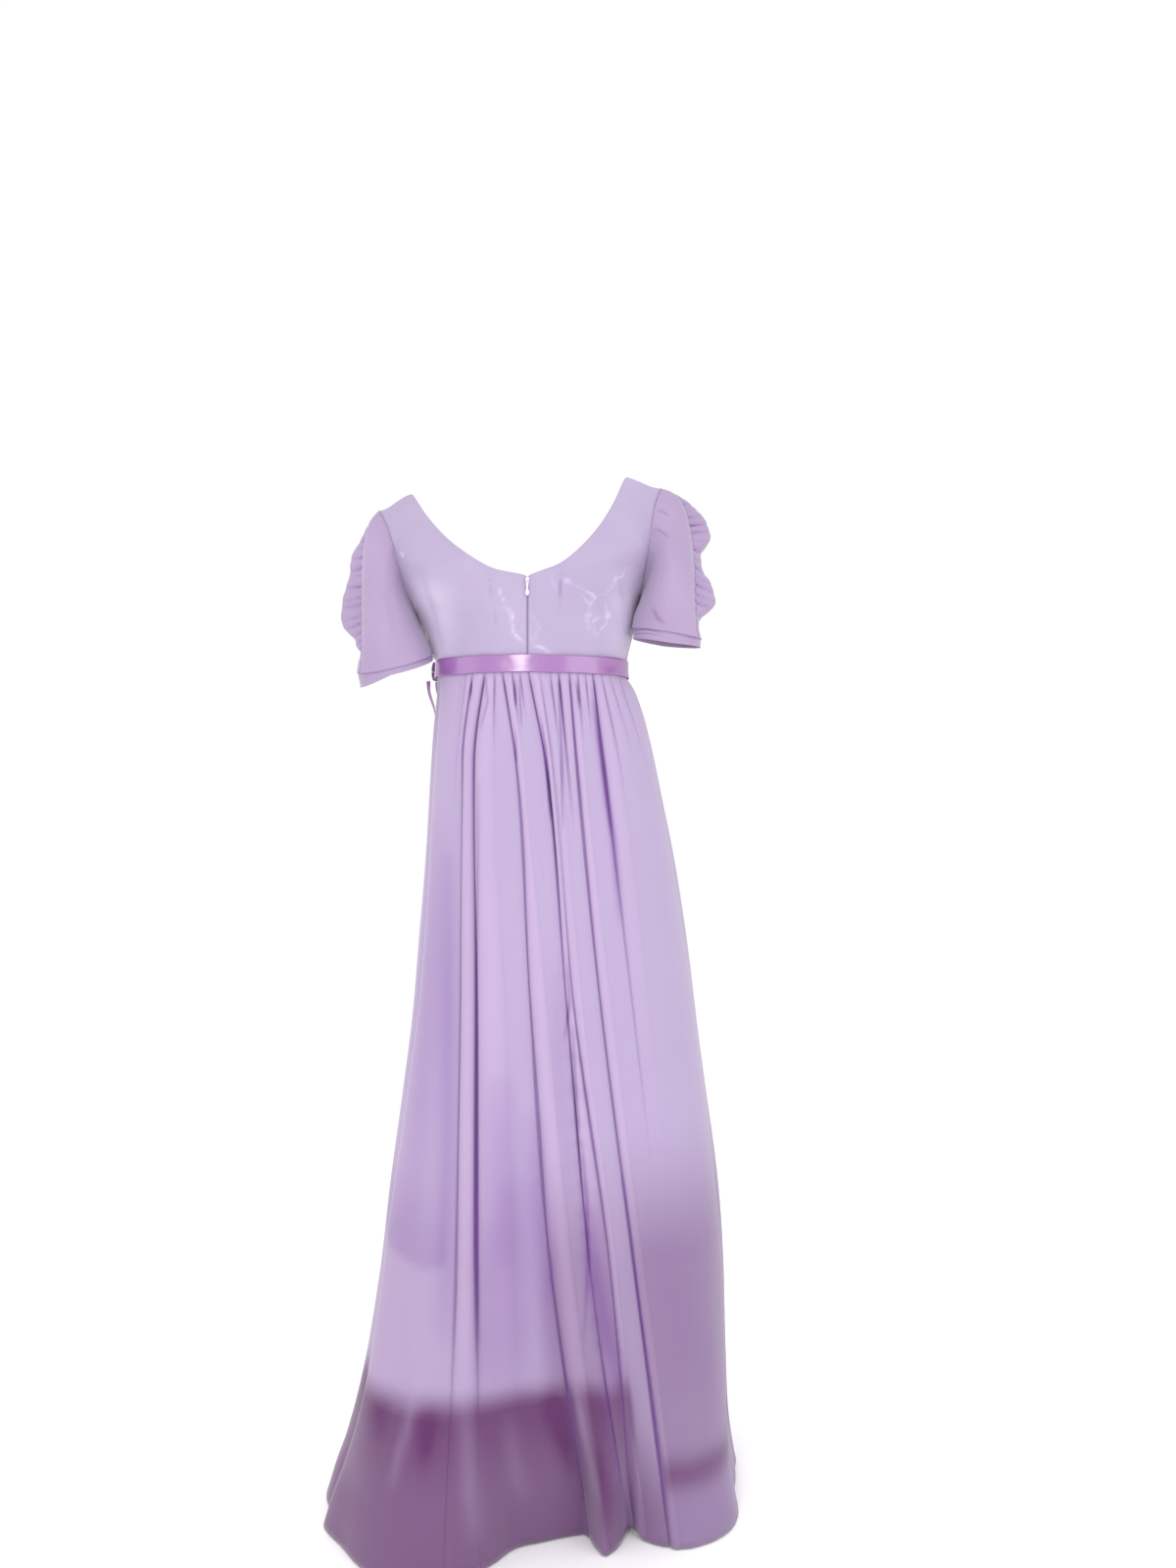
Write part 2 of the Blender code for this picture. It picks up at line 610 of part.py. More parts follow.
def ribbon_knot(look):
    size = section(-0.280)
    out = ring_out(size, KNOT_TURN)
    middle_z = (RIBBON_TOP_Z + RIBBON_FOOT_Z) / 2
    depth = KNOT_SIZE[1]
    spot = ring_point(size, KNOT_TURN) + out * (RIBBON_LIFT + RIBBON_WALL + 0.0015 + depth / 2)
    mesh = bpy.data.meshes.new("ribbon_knot")
    body = bmesh.new()
    bmesh.ops.create_cube(body, size=1.0)
    bmesh.ops.scale(body, vec=Vector(KNOT_SIZE), verts=body.verts)
    bmesh.ops.bevel(body, geom=body.edges[:], offset=0.0034, segments=3, affect="EDGES", profile=0.6)
    for vert in body.verts:
        waist = 1 - 0.16 * (1 - min(1.0, abs(vert.co.z) / (KNOT_SIZE[2] / 2)))
        vert.co.x *= waist
    along = Vector((-out.y, out.x, 0))
    turn = Matrix((along, -out, Vector((0, 0, 1)))).transposed().to_4x4()
    body.transform(Matrix.Translation(Vector((spot.x, spot.y, middle_z))) @ turn)
    bmesh.ops.recalc_face_normals(body, faces=body.faces)
    body.to_mesh(mesh)
    body.free()
    return finish("ribbon_knot", mesh, look)


def ribbon_tail(tail, look):
    """Free ribbon end hanging on the skirt below the knot."""
    name, turn, spread, foot_z, bulge = tail
    head_z = (RIBBON_TOP_Z + RIBBON_FOOT_Z) / 2 - KNOT_SIZE[2] / 2 - 0.0004
    rows = []
    for k in range(13):
        share = k / 12
        z = mix(head_z, foot_z, share ** 1.15)
        size = section(z)
        half = (size["left"] - size["right"]) / 2
        span = degrees(mix(TAIL_NECK, TAIL_WIDTH, ease(share * 3)) / 2 / half)
        out = 0.0030 + (bulge + 0.0030) * ease((0.30 - share) / 0.24)
        row = []
        for c in range(5):
            side = c / 4 * 2 - 1
            place = turn + spread * ease(share * 2.2) + span * side
            row.append(surface(place, z, out + 0.0006 * cos(pi * side)))
        if k == 12:
            for c, point in enumerate(row):
                point.z += 0.010 * (c / 4 - 0.5)
        rows.append(row)
    return sheet(name, [rows], look, RIBBON_WALL)


def zip_tape(look):
    """Closed zip behind the centre-back edges, from the neck to the waist seam."""
    rows = []
    for k in range(9):
        up = mix(0.12, NECK_RIB - 0.10, k / 8)
        row = []
        for c in range(7):
            side = (c / 6 * 2 - 1) * TAPE_HALF
            across = abs(side) / 0.146 * 0.62
            point = upright(BACK_RIBS, across, up)
            point.x = side
            point.y -= WALL + 0.0006
            row.append(lean(point))
        rows.append(row)
    return sheet("zip_tape", [rows], look, TAPE_WALL)


def tube(points, half_x, half_r, middle):
    """Square bar lofted along points of the YZ plane."""
    body = bmesh.new()
    rings = []
    for i, (y, z) in enumerate(points):
        a = points[max(0, i - 1)]
        b = points[min(len(points) - 1, i + 1)]
        along = Vector((0, b[0] - a[0], b[1] - a[1])).normalized()
        out = Vector((0, -along.z, along.y))
        spot = Vector((middle, y, z))
        corners = [spot + Vector((sx * half_x, 0, 0)) + out * sr * half_r
                   for sx, sr in ((-1, -1), (1, -1), (1, 1), (-1, 1))]
        rings.append([body.verts.new(corner) for corner in corners])
    for low, high in zip(rings, rings[1:]):
        for c in range(4):
            body.faces.new((low[c], low[(c + 1) % 4], high[(c + 1) % 4], high[c]))
    body.faces.new(rings[0])
    body.faces.new(rings[-1])
    bmesh.ops.recalc_face_normals(body, faces=body.faces)
    return body


def zip_place():
    """Middle of the slider's back face and the pull's pivot."""
    x = BACK_X
    face_y = max(bodice_point(BACK_RIBS, 1, 0.0, NECK_RIB - k / 10).y for k in range(7))
    back_y = face_y + 0.0004
    pivot_y = back_y + SLIDER_SIZE[1] + 0.0010
    return x, back_y, pivot_y


def zip_slider(look):
    x, back_y, pivot_y = zip_place()
    wide, deep, tall = SLIDER_SIZE
    body = bmesh.new()
    bmesh.ops.create_cube(body, size=1.0)
    bmesh.ops.scale(body, vec=Vector((wide, deep, tall)), verts=body.verts)
    bmesh.ops.bevel(body, geom=body.edges[:], offset=0.0006, segments=2, affect="EDGES")
    for vert in body.verts:
        vert.co.x *= 1 - 0.22 * (0.5 - vert.co.z / tall)
    body.transform(Matrix.Translation(Vector((x, back_y + deep / 2, SLIDER_Z))))
    mesh = bpy.data.meshes.new("zip_slider")
    body.to_mesh(mesh)
    body.free()
    slider = finish("zip_slider", mesh, look)
    path = [(back_y + deep - 0.0008, SLIDER_Z + ARCH_RADIUS)]
    path += [(pivot_y + ARCH_RADIUS * sin(pi * k / 10), SLIDER_Z + ARCH_RADIUS * cos(pi * k / 10))
             for k in range(11)]
    path += [(back_y + deep - 0.0008, SLIDER_Z - ARCH_RADIUS)]
    arch_body = tube(path, 0.0005, ARCH_BAR / 2, x)
    arch_mesh = bpy.data.meshes.new("slider_bridge")
    arch_body.to_mesh(arch_mesh)
    arch_body.free()
    arch = bpy.data.objects.new("slider_bridge", arch_mesh)
    CUTTERS.objects.link(arch)
    arch.hide_render = True
    arch.display_type = "WIRE"
    joined = slider.modifiers.new("bridge", "BOOLEAN")
    joined.operation = "UNION"
    joined.object = arch
    joined.solver = "EXACT"
    return slider


def zip_pull(look):
    """Drop-shaped pull with a window whose top bar passes under the slider's bridge."""
    x, back_y, pivot_y = zip_place()
    half_eye, eye_top, eye_foot = PULL_EYE
    outline = []
    steps = 22
    for k in range(steps + 1):
        share = k / steps
        z = mix(0.0006, -PULL_LENGTH, share)
        neck = PULL_NECK * min(1.0, (0.35 + 6 * share)) * mix(1.0, 0.62, ease((share - 0.14) / 0.3))
        drop = PULL_HEAD * max(0.0, 1 - ((share - 0.80) / 0.22) ** 2) ** 0.5 if share > 0.58 else 0
        blend = ease((share - 0.40) / 0.40)
        half = mix(neck, max(drop, 0.0), blend)
        outline.append((max(half, 0.0004), z))
    body = bmesh.new()
    sides = []
    for depth in (-PULL_WALL / 2, PULL_WALL / 2):
        right = [body.verts.new((h, depth, z)) for h, z in outline]
        left = [body.verts.new((-h, depth, z)) for h, z in outline]
        sides.append((right, left))
    for k in range(steps):
        for right, left in sides:
            body.faces.new((right[k], right[k + 1], left[k + 1], left[k]))
        for column in (0, 1):
            a = sides[0][column]
            b = sides[1][column]
            body.faces.new((a[k], a[k + 1], b[k + 1], b[k]))
    for k in (0, steps):
        body.faces.new((sides[0][0][k], sides[0][1][k], sides[1][1][k], sides[1][0][k]))
    bmesh.ops.recalc_face_normals(body, faces=body.faces)
    body.transform(Matrix.Translation(Vector((x, pivot_y, SLIDER_Z))))
    mesh = bpy.data.meshes.new("zip_pull")
    body.to_mesh(mesh)
    body.free()
    pull = finish("zip_pull", mesh, look, smooth=False)
    cut_body = bmesh.new()
    bmesh.ops.create_cube(cut_body, size=1.0)
    bmesh.ops.scale(cut_body, vec=Vector((2 * half_eye, 0.004, eye_foot - eye_top)), verts=cut_body.verts)
    middle = Vector((x, pivot_y, SLIDER_Z - (eye_top + eye_foot) / 2))
    cut_body.transform(Matrix.Translation(middle))
    cut_mesh = bpy.data.meshes.new("pull_window")
    cut_body.to_mesh(cut_mesh)
    cut_body.free()
    window = bpy.data.objects.new("pull_window", cut_mesh)
    CUTTERS.objects.link(window)
    window.hide_render = True
    window.display_type = "WIRE"
    cut = pull.modifiers.new("window", "BOOLEAN")
    cut.operation = "DIFFERENCE"
    cut.object = window
    cut.solver = "EXACT"
    return pull


clear()
PART = bpy.data.collections.new("regency_gown")
bpy.context.scene.collection.children.link(PART)
CUTTERS = bpy.data.collections.new("cutters")
bpy.context.scene.collection.children.link(CUTTERS)

COLORS = {
    "bodice_front": (0.60, 0.48, 0.73),
    "bodice_back_left": (0.61, 0.49, 0.73),
    "bodice_back_right": (0.61, 0.49, 0.74),
    "skirt_front": (0.56, 0.42, 0.67),
    "skirt_back_left": (0.57, 0.43, 0.68),
    "skirt_back_right": (0.58, 0.44, 0.69),
    "skirt_lining": (0.62, 0.52, 0.76),
    "sleeve_back": (0.57, 0.44, 0.67),
    "sleeve_front": (0.57, 0.43, 0.66),
    "cuff": (0.56, 0.42, 0.65),
}

total_marks = len(GATHERS) * 2 + len(FOLDS)
left_seam = len(GATHERS) * 2 + LEFT_SEAM_FOLD
right_seam = len(GATHERS) * 2 + RIGHT_SEAM_FOLD
back_seam = SEAM_GATHER * 2

crepe = {name: material(name + "_crepe", COLORS[name], 0.45, 0.3)
         for name in ("bodice_front", "bodice_back_left", "bodice_back_right")}
chiffon = {name: material(name + "_chiffon", COLORS[name], 0.75, 0.4)
           for name in ("skirt_front", "skirt_back_left", "skirt_back_right")}

bodice_front(crepe["bodice_front"])
bodice_back("left", 1, crepe["bodice_back_left"])
bodice_back("right", -1, crepe["bodice_back_right"])
skirt_panel("skirt_front", right_seam, left_seam, chiffon["skirt_front"])
skirt_panel("skirt_back_left", left_seam, total_marks + back_seam, chiffon["skirt_back_left"])
skirt_panel("skirt_back_right", back_seam, right_seam, chiffon["skirt_back_right"])
skirt_lining(material("lining_cloth", COLORS["skirt_lining"], 0.6, 0.1))
for values in SLEEVES:
    sleeve = dict(zip(SLEEVE, values))
    for part, ribs in (("back", BACK_RIBS), ("front", FRONT_RIBS)):
        label = "sleeve_" + sleeve["side"] + "_" + part + "_cloth"
        sleeve_panel(sleeve, part, ribs, material(label, COLORS["sleeve_" + part], 0.7, 0.4))
    cuff_band(sleeve, material("cuff_" + sleeve["side"] + "_cloth", COLORS["cuff"], 0.7, 0.4))
waist_ribbon(material("waist_ribbon_satin", (0.50, 0.30, 0.58), 0.28))
ribbon_knot(material("ribbon_knot_satin", (0.50, 0.30, 0.58), 0.28))
for tail in TAILS:
    ribbon_tail(tail, material(tail[0] + "_satin", (0.50, 0.30, 0.58), 0.28))
zip_tape(material("zip_tape_cloth", (0.58, 0.46, 0.70), 0.8))
zip_slider(material("zip_slider_enamel", (0.90, 0.88, 0.92), 0.35))
zip_pull(material("zip_pull_enamel", (0.92, 0.90, 0.94), 0.35))
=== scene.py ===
import bmesh
import bpy
import numpy as np
from bpy.props import FloatProperty, FloatVectorProperty, PointerProperty
from bpy.types import Operator, Panel, PropertyGroup
from math import pi, radians
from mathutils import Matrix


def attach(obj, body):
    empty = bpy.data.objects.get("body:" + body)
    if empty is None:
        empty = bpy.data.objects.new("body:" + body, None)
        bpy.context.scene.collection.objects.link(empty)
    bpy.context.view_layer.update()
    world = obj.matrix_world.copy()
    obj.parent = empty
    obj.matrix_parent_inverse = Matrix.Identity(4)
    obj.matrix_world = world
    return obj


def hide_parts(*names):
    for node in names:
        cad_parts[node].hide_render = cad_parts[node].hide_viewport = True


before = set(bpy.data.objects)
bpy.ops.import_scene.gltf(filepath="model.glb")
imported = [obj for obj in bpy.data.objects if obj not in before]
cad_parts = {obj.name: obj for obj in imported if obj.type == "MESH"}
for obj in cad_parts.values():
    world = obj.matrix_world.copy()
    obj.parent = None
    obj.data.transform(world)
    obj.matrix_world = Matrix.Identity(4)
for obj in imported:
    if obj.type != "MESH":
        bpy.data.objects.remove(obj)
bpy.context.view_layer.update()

bl_info = {
    "name": "Regency gown",
    "version": (1, 0, 0),
    "blender": (4, 5, 0),
    "location": "3D View > Sidebar > Gown",
    "description": "Sews the cloth, ribbon and zip of an empire gown on its packed solids",
    "category": "Object",
}

# --- heights of the waist seam and the two hems, and middles of the waist and the zip -----
EMPIRE_Z = -0.2795
LINING_HEM_Z = -1.19
HEM_Z = -1.48
WAIST_X = -0.0235
BACK_X = -0.0190
# stance: lean in degrees and the height it takes up, shift and sway of the ribs above the ribbon
LEAN = 4.5
LEAN_RISE = 0.08
SHIFT = 0.0030
SWAY = 0.0062
RIBBON_RISE = 0.014
# gap left for the stitching between two pieces
SEAM = 0.0004
# columns and rows of the cloth grids
BODICE_COLUMNS = 84
SKIRT_ROWS = 176
LINING_GRID = (200, 84)
SLEEVE_GRID = (88, 92)
CUFF_GRID = (180, 26)
RIBBON_GRID = (420, 17)
KNOT_GRID = (34, 72)
TAIL_GRID = (17, 90)
TAPE_GRID = (21, 60)

# --- skirt sections: a row for each height ---------------------------------------------
SECTION = ("z", "left", "right", "back", "front", "square_back", "square_front")
SECTIONS = (
    (-0.280, 0.1215, -0.1625, 0.105, -0.115, 2.00, 2.00),
    (-0.293, 0.1210, -0.1637, 0.1066, -0.1166, 2.00, 2.00),
    (-0.303, 0.1207, -0.1705, 0.1085, -0.1185, 2.00, 2.00),
    (-0.340, 0.1225, -0.1845, 0.118, -0.124, 2.05, 2.02),
    (-0.380, 0.1250, -0.1950, 0.127, -0.131, 2.10, 2.05),
    (-0.450, 0.1290, -0.2110, 0.138, -0.140, 2.15, 2.08),
    (-0.550, 0.1350, -0.2310, 0.150, -0.150, 2.20, 2.10),
    (-0.650, 0.1410, -0.2460, 0.160, -0.158, 2.30, 2.14),
    (-0.780, 0.1510, -0.2640, 0.170, -0.168, 2.40, 2.18),
    (-0.900, 0.1670, -0.2800, 0.178, -0.177, 2.50, 2.20),
    (-1.040, 0.1850, -0.2960, 0.186, -0.188, 2.70, 2.25),
    (-1.180, 0.2000, -0.3060, 0.192, -0.200, 3.00, 2.30),
    (-1.310, 0.2190, -0.3090, 0.196, -0.212, 3.40, 2.35),
    (-1.400, 0.2430, -0.3120, 0.199, -0.222, 3.70, 2.40),
    (-1.440, 0.2580, -0.3170, 0.200, -0.228, 3.85, 2.40),
    (-1.480, 0.2700, -0.3240, 0.200, -0.235, 4.00, 2.40),
)

# --- gathers of the back: x in mm of each hollow and of the ridge after it at the levels,
# --- how deep the hollow and how high the ridge is, and the height at which both fade out
LEVELS = (-0.292, -0.42, -0.75, -1.10, -1.48)
GATHERS = (
    ((71, 83, 92, 95, 105), (66, 79, 83, 85, 93), 0.8, 0.8, -0.50),
    ((61, 74, 73, 75, 81), (52, 66, 63, 61, 60), 1.0, 1.3, -9),
    ((43, 57, 50, 47, 37), (35, 44, 30, 21, 16), 1.5, 0.9, -9),
    ((28, 28, 9, -6, -13), (22, 13, -11, -36, -65), 0.7, 0.8, -0.42),
    ((17, -4, -26, -54, -107), (8, -11, -39, -73, -127), 1.2, 1.2, -9),
    ((3, -14, -49, -85, -134), (-3, -20, -55, -90, -140), 0.9, 0.8, -0.39),
    ((-8, -26, -61, -95, -146), (-13, -33, -67, -100, -152), 0.7, 0.9, -0.37),
    ((-20, -45, -75, -107, -161), (-28, -51, -82, -114, -168), 1.6, 1.0, -9),
    ((-36, -55, -85, -134, -166), (-44, -62, -93, -141, -175), 1.2, 1.2, -9),
    ((-51, -67, -98, -135, -186), (-57, -71, -102, -140, -191), 0.7, 0.8, -0.42),
    ((-63, -76, -107, -146, -197), (-70, -82, -113, -153, -204), 1.3, 1.0, -0.55),
    ((-78, -89, -122, -167, -216), (-84, -95, -129, -174, -223), 1.2, 1.0, -9),
    ((-90, -101, -137, -181, -231), (-95, -107, -145, -187, -238), 0.8, 0.8, -0.41),
    ((-101, -114, -153, -194, -246), (-106, -121, -160, -200, -252), 0.7, 0.8, -0.39),
    ((-112, -127, -166, -207, -258), (-118, -138, -179, -215, -264), 1.5, 1.0, -1.05),
    ((-124, -150, -190, -226, -270), (-130, -161, -200, -236, -276), 0.7, 0.7, -0.52),
    ((-136, -171, -210, -246, -282), (-143, -180, -220, -255, -288), 0.6, 0.6, -0.44),
    ((-150, -188, -229, -264, -294), (-156, -196, -238, -273, -300), 0.6, 0.6, -0.50),
)
# gathers that hold the back seam, start low, and flatten towards the hem
SEAM_GATHER = 7
LOW_GATHER = 8
SOFT_GATHERS = (1, 2)
# widths of the painted dark line and of the painted soft shade in a hollow, and depth of its groove
FOLD_LINE = 0.0013
FOLD_SHADE = 0.005
FOLD_GROOVE = 0.0008

# --- soft folds of the sides and the front: turn at the waist, turn at the hem, strength --
FOLDS = (
    (176, 176, -0.5), (184, 186, 0.6), (193, 198, -0.6), (203, 210, 0.8), (215, 222, -0.9),
    (228, 234, 0.7), (238, 242, -0.4), (248, 252, 0.4), (260, 266, -1.0), (272, 277, 0.8),
    (283, 286, -0.5), (297, 298, 0.6), (312, 311, -1.0), (323, 321, 0.9), (333, 331, -0.5),
    (344, 342, 0.5), (353, 352, -0.5), (362, 363, 0.6), (374, 375, -0.5), (388, 388, 0.7),
)
LEFT_SEAM_FOLD = 16
RIGHT_SEAM_FOLD = 0
# marks count every hollow and every ridge, from the wearer's left across the back and round
MARKS = len(GATHERS) * 2 + len(FOLDS)
LEFT_SEAM = len(GATHERS) * 2 + LEFT_SEAM_FOLD
RIGHT_SEAM = len(GATHERS) * 2 + RIGHT_SEAM_FOLD
BACK_SEAM = SEAM_GATHER * 2

# --- how far gathers stand out, by height -----------------------------------------------
RELIEF = ((-0.2798, 0.0), (-0.2925, 0.0008), (-0.305, 0.0022), (-0.34, 0.0036), (-0.42, 0.0046),
          (-0.75, 0.0064), (-1.10, 0.0088), (-1.48, 0.0120))

# --- spread of the hem on the floor: x and extra reach to the back, in mm ----------------
SWEEP = ((-330, 0), (-244, 0), (-224, -5), (-193, -20), (-175, -34), (-163, -44), (-150, -22),
         (-128, 0), (-117, -12), (-97, -42), (-43, -28), (-2, -10), (17, 13), (47, 42),
         (83, 62), (145, 60), (200, 34), (232, 6), (270, 0))
SWEEP_TOP_Z = -1.10

# --- finer forms and tones of the skirt --------------------------------------------------
# small gathers under the ribbon: first and last turn, count, seed, range of the foot heights,
# range of depths, and how dark their painted shade lines are
SMALL_GATHERS = (
    (12, 176, 30, 5, (-0.31, -0.40), (0.0005, 0.0010), 1.00),
    (176, 382, 54, 8, (-0.35, -0.78), (0.0008, 0.0024), 0.45),
)
# loose drapes of the back: path in mm (x, z), width and height in mm
DRAPE_LINES = (
    (((176, -1382), (135, -1388), (93, -1376)), 2.2, -1.4),
    (((120, -1241), (135, -1292), (153, -1342), (168, -1381)), 14.0, 5.0),
    (((152, -1180), (160, -1260), (170, -1330)), 13.0, -3.5),
    (((-30, -520), (-36, -560), (-46, -600)), 3.0, -0.8),
    (((-235, -1050), (-262, -1180), (-285, -1320)), 22.0, 4.0),
)
# narrow slits between the gathers, pressed in and darkened with painted shade: path in mm (x, z), width and
# depth in mm
SLITS = (
    (((62, -304), (63, -330)), 1.5, 0.8),
    (((42, -297), (37, -332), (47, -372)), 1.8, 0.8),
    (((50, -450), (49, -560), (49, -720), (48, -900), (46, -1090), (42, -1200)), 2.4, 1.0),
    (((-1, -302), (-3, -342)), 1.9, 1.0),
    (((-7, -300), (-10, -345), (-12, -372)), 1.9, 0.9),
    (((-38, -355), (-46, -408), (-50, -450), (-53, -500)), 2.2, 1.0),
    (((-2, -375), (-5, -420)), 1.8, 0.7),
    (((-63, -304), (-66, -360), (-69, -440), (-70, -510)), 2.3, 1.0),
    (((-89, -303), (-92, -345)), 1.8, 0.9),
    (((-110, -310), (-119, -375), (-128, -440), (-138, -520)), 2.6, 0.9),
    (((-76, -690), (-80, -745), (-72, -800)), 2.2, 0.7),
    (((-84, -780), (-88, -860), (-93, -925)), 2.2, 0.7),
    (((-96, -930), (-103, -1010), (-105, -1090), (-99, -1200)), 2.8, 1.0),
    (((-151, -980), (-162, -1060), (-172, -1140), (-187, -1250), (-201, -1360), (-212, -1450)), 2.4, 0.8),
    (((-50, -1070), (-67, -1190), (-81, -1300), (-95, -1400)), 2.2, 0.8),
)
FRONT_SLITS = (
    (((-118, -312), (-130, -400), (-138, -480)), 2.2, 0.8),
    (((-90, -304), (-93, -345)), 1.8, 0.8),
    (((-62, -302), (-66, -372), (-68, -430)), 2.2, 0.9),
    (((-30, -303), (-31, -340)), 1.8, 0.8),
    (((-8, -350), (-6, -430), (-4, -520)), 2.2, 0.9),
    (((22, -302), (24, -360)), 1.9, 0.9),
    (((52, -304), (60, -380), (66, -470)), 2.2, 0.9),
    (((80, -305), (84, -340)), 1.8, 0.8),
    (((70, -700), (76, -860), (84, -1000)), 2.4, 0.7),
    (((-100, -640), (-112, -820), (-124, -980)), 2.4, 0.8),
)
# broad soft painted shadows of the back: path in mm (x, z), width in mm and strength
SHADES = (
    (((94, -540), (90, -700), (88, -900), (88, -1060), (90, -1200)), 15.0, 0.45),
    (((112, -500), (118, -700), (130, -900), (138, -1000), (148, -1100)), 28.0, 0.36),
    (((14, -840), (12, -960), (8, -1100)), 26.0, 0.42),
    (((26, -1030), (24, -1290)), 22.0, 0.38),
    (((-6, -980), (-14, -1290)), 24.0, 0.42),
    (((-30, -900), (-46, -1100), (-62, -1280)), 16.0, 0.55),
    (((-104, -1010), (-112, -1090), (-128, -1180), (-150, -1290)), 15.0, 0.85),
    (((-112, -335), (-123, -410), (-132, -480), (-140, -530), (-149, -640)), 5.0, 0.75),
    (((-60, -700), (-68, -860), (-84, -1000)), 12.0, 0.25),
    (((-200, -1050), (-222, -1160), (-240, -1290)), 40.0, 0.20),
)
# the lining's hem where it shows through: x and z in mm
HEM_SHOWS = ((176, -1096), (124, -1114), (80, -1104))
# paler and deeper streaks in the painted hem shade below the lining: path in mm (x, z), width in mm and
# strength
STREAKS = (
    (((127, -1240), (133, -1290), (146, -1340), (156, -1375)), 7.5, -0.20),
    (((62, -1250), (56, -1300), (50, -1370), (40, -1440)), 12.0, -0.18),
    (((-84, -1240), (-92, -1290), (-104, -1350), (-120, -1420)), 6.0, -0.24),
    (((104, -1262), (108, -1310), (112, -1350)), 12.0, 0.12),
    (((-112, -1340), (-128, -1400), (-134, -1450)), 14.0, 0.14),
    (((170, -1262), (186, -1330)), 14.0, 0.08),
    (((-52, -1240), (-60, -1300), (-74, -1350), (-84, -1400)), 12.0, 0.16),
    (((4, -1290), (-6, -1370), (-20, -1420)), 12.0, -0.10),
    (((205, -1395), (232, -1450)), 20.0, 0.06),
)

# widest column of a skirt grid at the hem
COLUMN = 0.0042

# --- lining: how far inside it starts and how much further it hangs, depth and step of its hem
LINING_TUCK = 0.0026
LINING_FALL = 0.0145
LINING_HEM = 0.014
LINING_HEM_STEP = 0.0005

# --- edges and tones of the skirt: lap at the side seams, notch of the hem between the hanging
# --- folds, and where the painted hem shade begins, crosses the right panel and cools
LAP = 0.0012
LAP_WIDTH = 0.006
NOTCH_X = -0.163
HEM_SHADE_Z = -1.246
RIGHT_TONE = 11
RIGHT_BAND_Z = -1.386
COOL_Z = -1.440
# edge of the strip of hanging folds: depth below the origin and x
STRIP_EDGE = ((1.04, -0.125), (1.15, -0.134), (1.29, -0.158), (1.48, -0.165))

# --- bodice ribs, from the waist seam to the shoulder seam, before the lean ---------------
RIB = ("x_in", "y_in", "z_in", "x_out", "y_out", "z_out", "flat")
BACK_RIBS = (
    (0.000, 0.1050, -0.2795, 0.1420, 0.000, -0.2795, 0.00),
    (0.000, 0.1054, -0.2620, 0.1422, 0.000, -0.2620, 0.00),
    (0.000, 0.1065, -0.2350, 0.1512, 0.000, -0.2300, 0.00),
    (0.000, 0.1060, -0.1920, 0.1680, 0.000, -0.1800, 0.05),
    (0.000, 0.1054, -0.1760, 0.1690, 0.017, -0.1765, 0.08),
    (0.000, 0.1040, -0.1570, 0.1790, 0.036, -0.1400, 0.15),
    (0.052, 0.1010, -0.1370, 0.1850, 0.046, -0.1120, 0.30),
    (0.100, 0.0860, -0.0975, 0.1905, 0.044, -0.0820, 0.50),
    (0.1345, 0.0550, -0.0510, 0.1990, 0.032, -0.0510, 0.75),
    (0.1565, 0.0300, -0.0098, 0.2095, 0.018, -0.0268, 1.00),
    (0.1600, 0.0180, -0.0086, 0.2120, 0.008, -0.0256, 1.00),
)
FRONT_RIBS = (
    (0.000, -0.1150, -0.2795, 0.1420, 0.000, -0.2795, 0.00),
    (0.000, -0.1162, -0.2620, 0.1422, 0.000, -0.2620, 0.00),
    (0.000, -0.1330, -0.2350, 0.1512, 0.000, -0.2300, 0.00),
    (0.000, -0.1380, -0.1950, 0.1680, 0.000, -0.1800, 0.05),
    (0.000, -0.1360, -0.1780, 0.1685, -0.017, -0.1765, 0.08),
    (0.000, -0.1300, -0.1560, 0.1765, -0.036, -0.1400, 0.15),
    (0.060, -0.1200, -0.1440, 0.1790, -0.048, -0.1120, 0.30),
    (0.105, -0.0960, -0.1040, 0.1860, -0.044, -0.0820, 0.50),
    (0.1370, -0.0560, -0.0540, 0.1965, -0.022, -0.0510, 0.75),
    (0.1565, 0.0060, -0.0098, 0.2095, -0.002, -0.0268, 1.00),
    (0.1600, 0.0180, -0.0086, 0.2120, 0.008, -0.0256, 1.00),
)
QUARTER_ROUND = 0.552
NECK_RIB = 5
ARMPIT_RIB = 3
TOP_RIB = len(BACK_RIBS) - 1

# --- creases of wear in the bodice back, sunk ones with painted shade and narrow raised ones with painted highlight: path in mm (x, z), width and height in mm ---
CRINKLES = (
    (((22, -169), (16, -186), (6, -205), (0, -216)), 1.5, 0.20),
    (((6, -214), (2, -233), (-5, -242), (-16, -252)), 1.7, 0.30),
    (((16, -200), (4, -209), (-2, -222), (4, -236)), 1.3, 0.20),
    (((-24, -243), (-28, -254), (-40, -257), (-56, -266)), 1.6, 0.28),
    (((-30, -214), (-34, -230), (-28, -246)), 1.3, 0.18),
    (((-82, -166), (-98, -172), (-113, -180), (-106, -205), (-102, -226)), 1.6, 0.28),
    (((-94, -178), (-104, -190), (-118, -198)), 1.3, 0.20),
    (((-113, -181), (-127, -176), (-146, -157), (-170, -132)), 1.5, 0.20),
    (((-128, -184), (-136, -206), (-124, -228), (-104, -245)), 1.5, 0.26),
    (((-120, -206), (-112, -222), (-114, -240)), 1.3, 0.20),
    (((-72, -158), (-80, -166)), 2.8, 0.20),
    (((-52, -152), (-60, -176)), 2.0, 0.14),
    (((169, -111), (163, -122)), 2.8, 0.26),
    (((137, -137), (121, -200), (104, -266)), 4.5, -0.70),
    (((60, -172), (78, -196), (84, -226)), 3.2, 0.30),
    (((-150, -150), (-158, -196)), 4.0, -0.45),
)
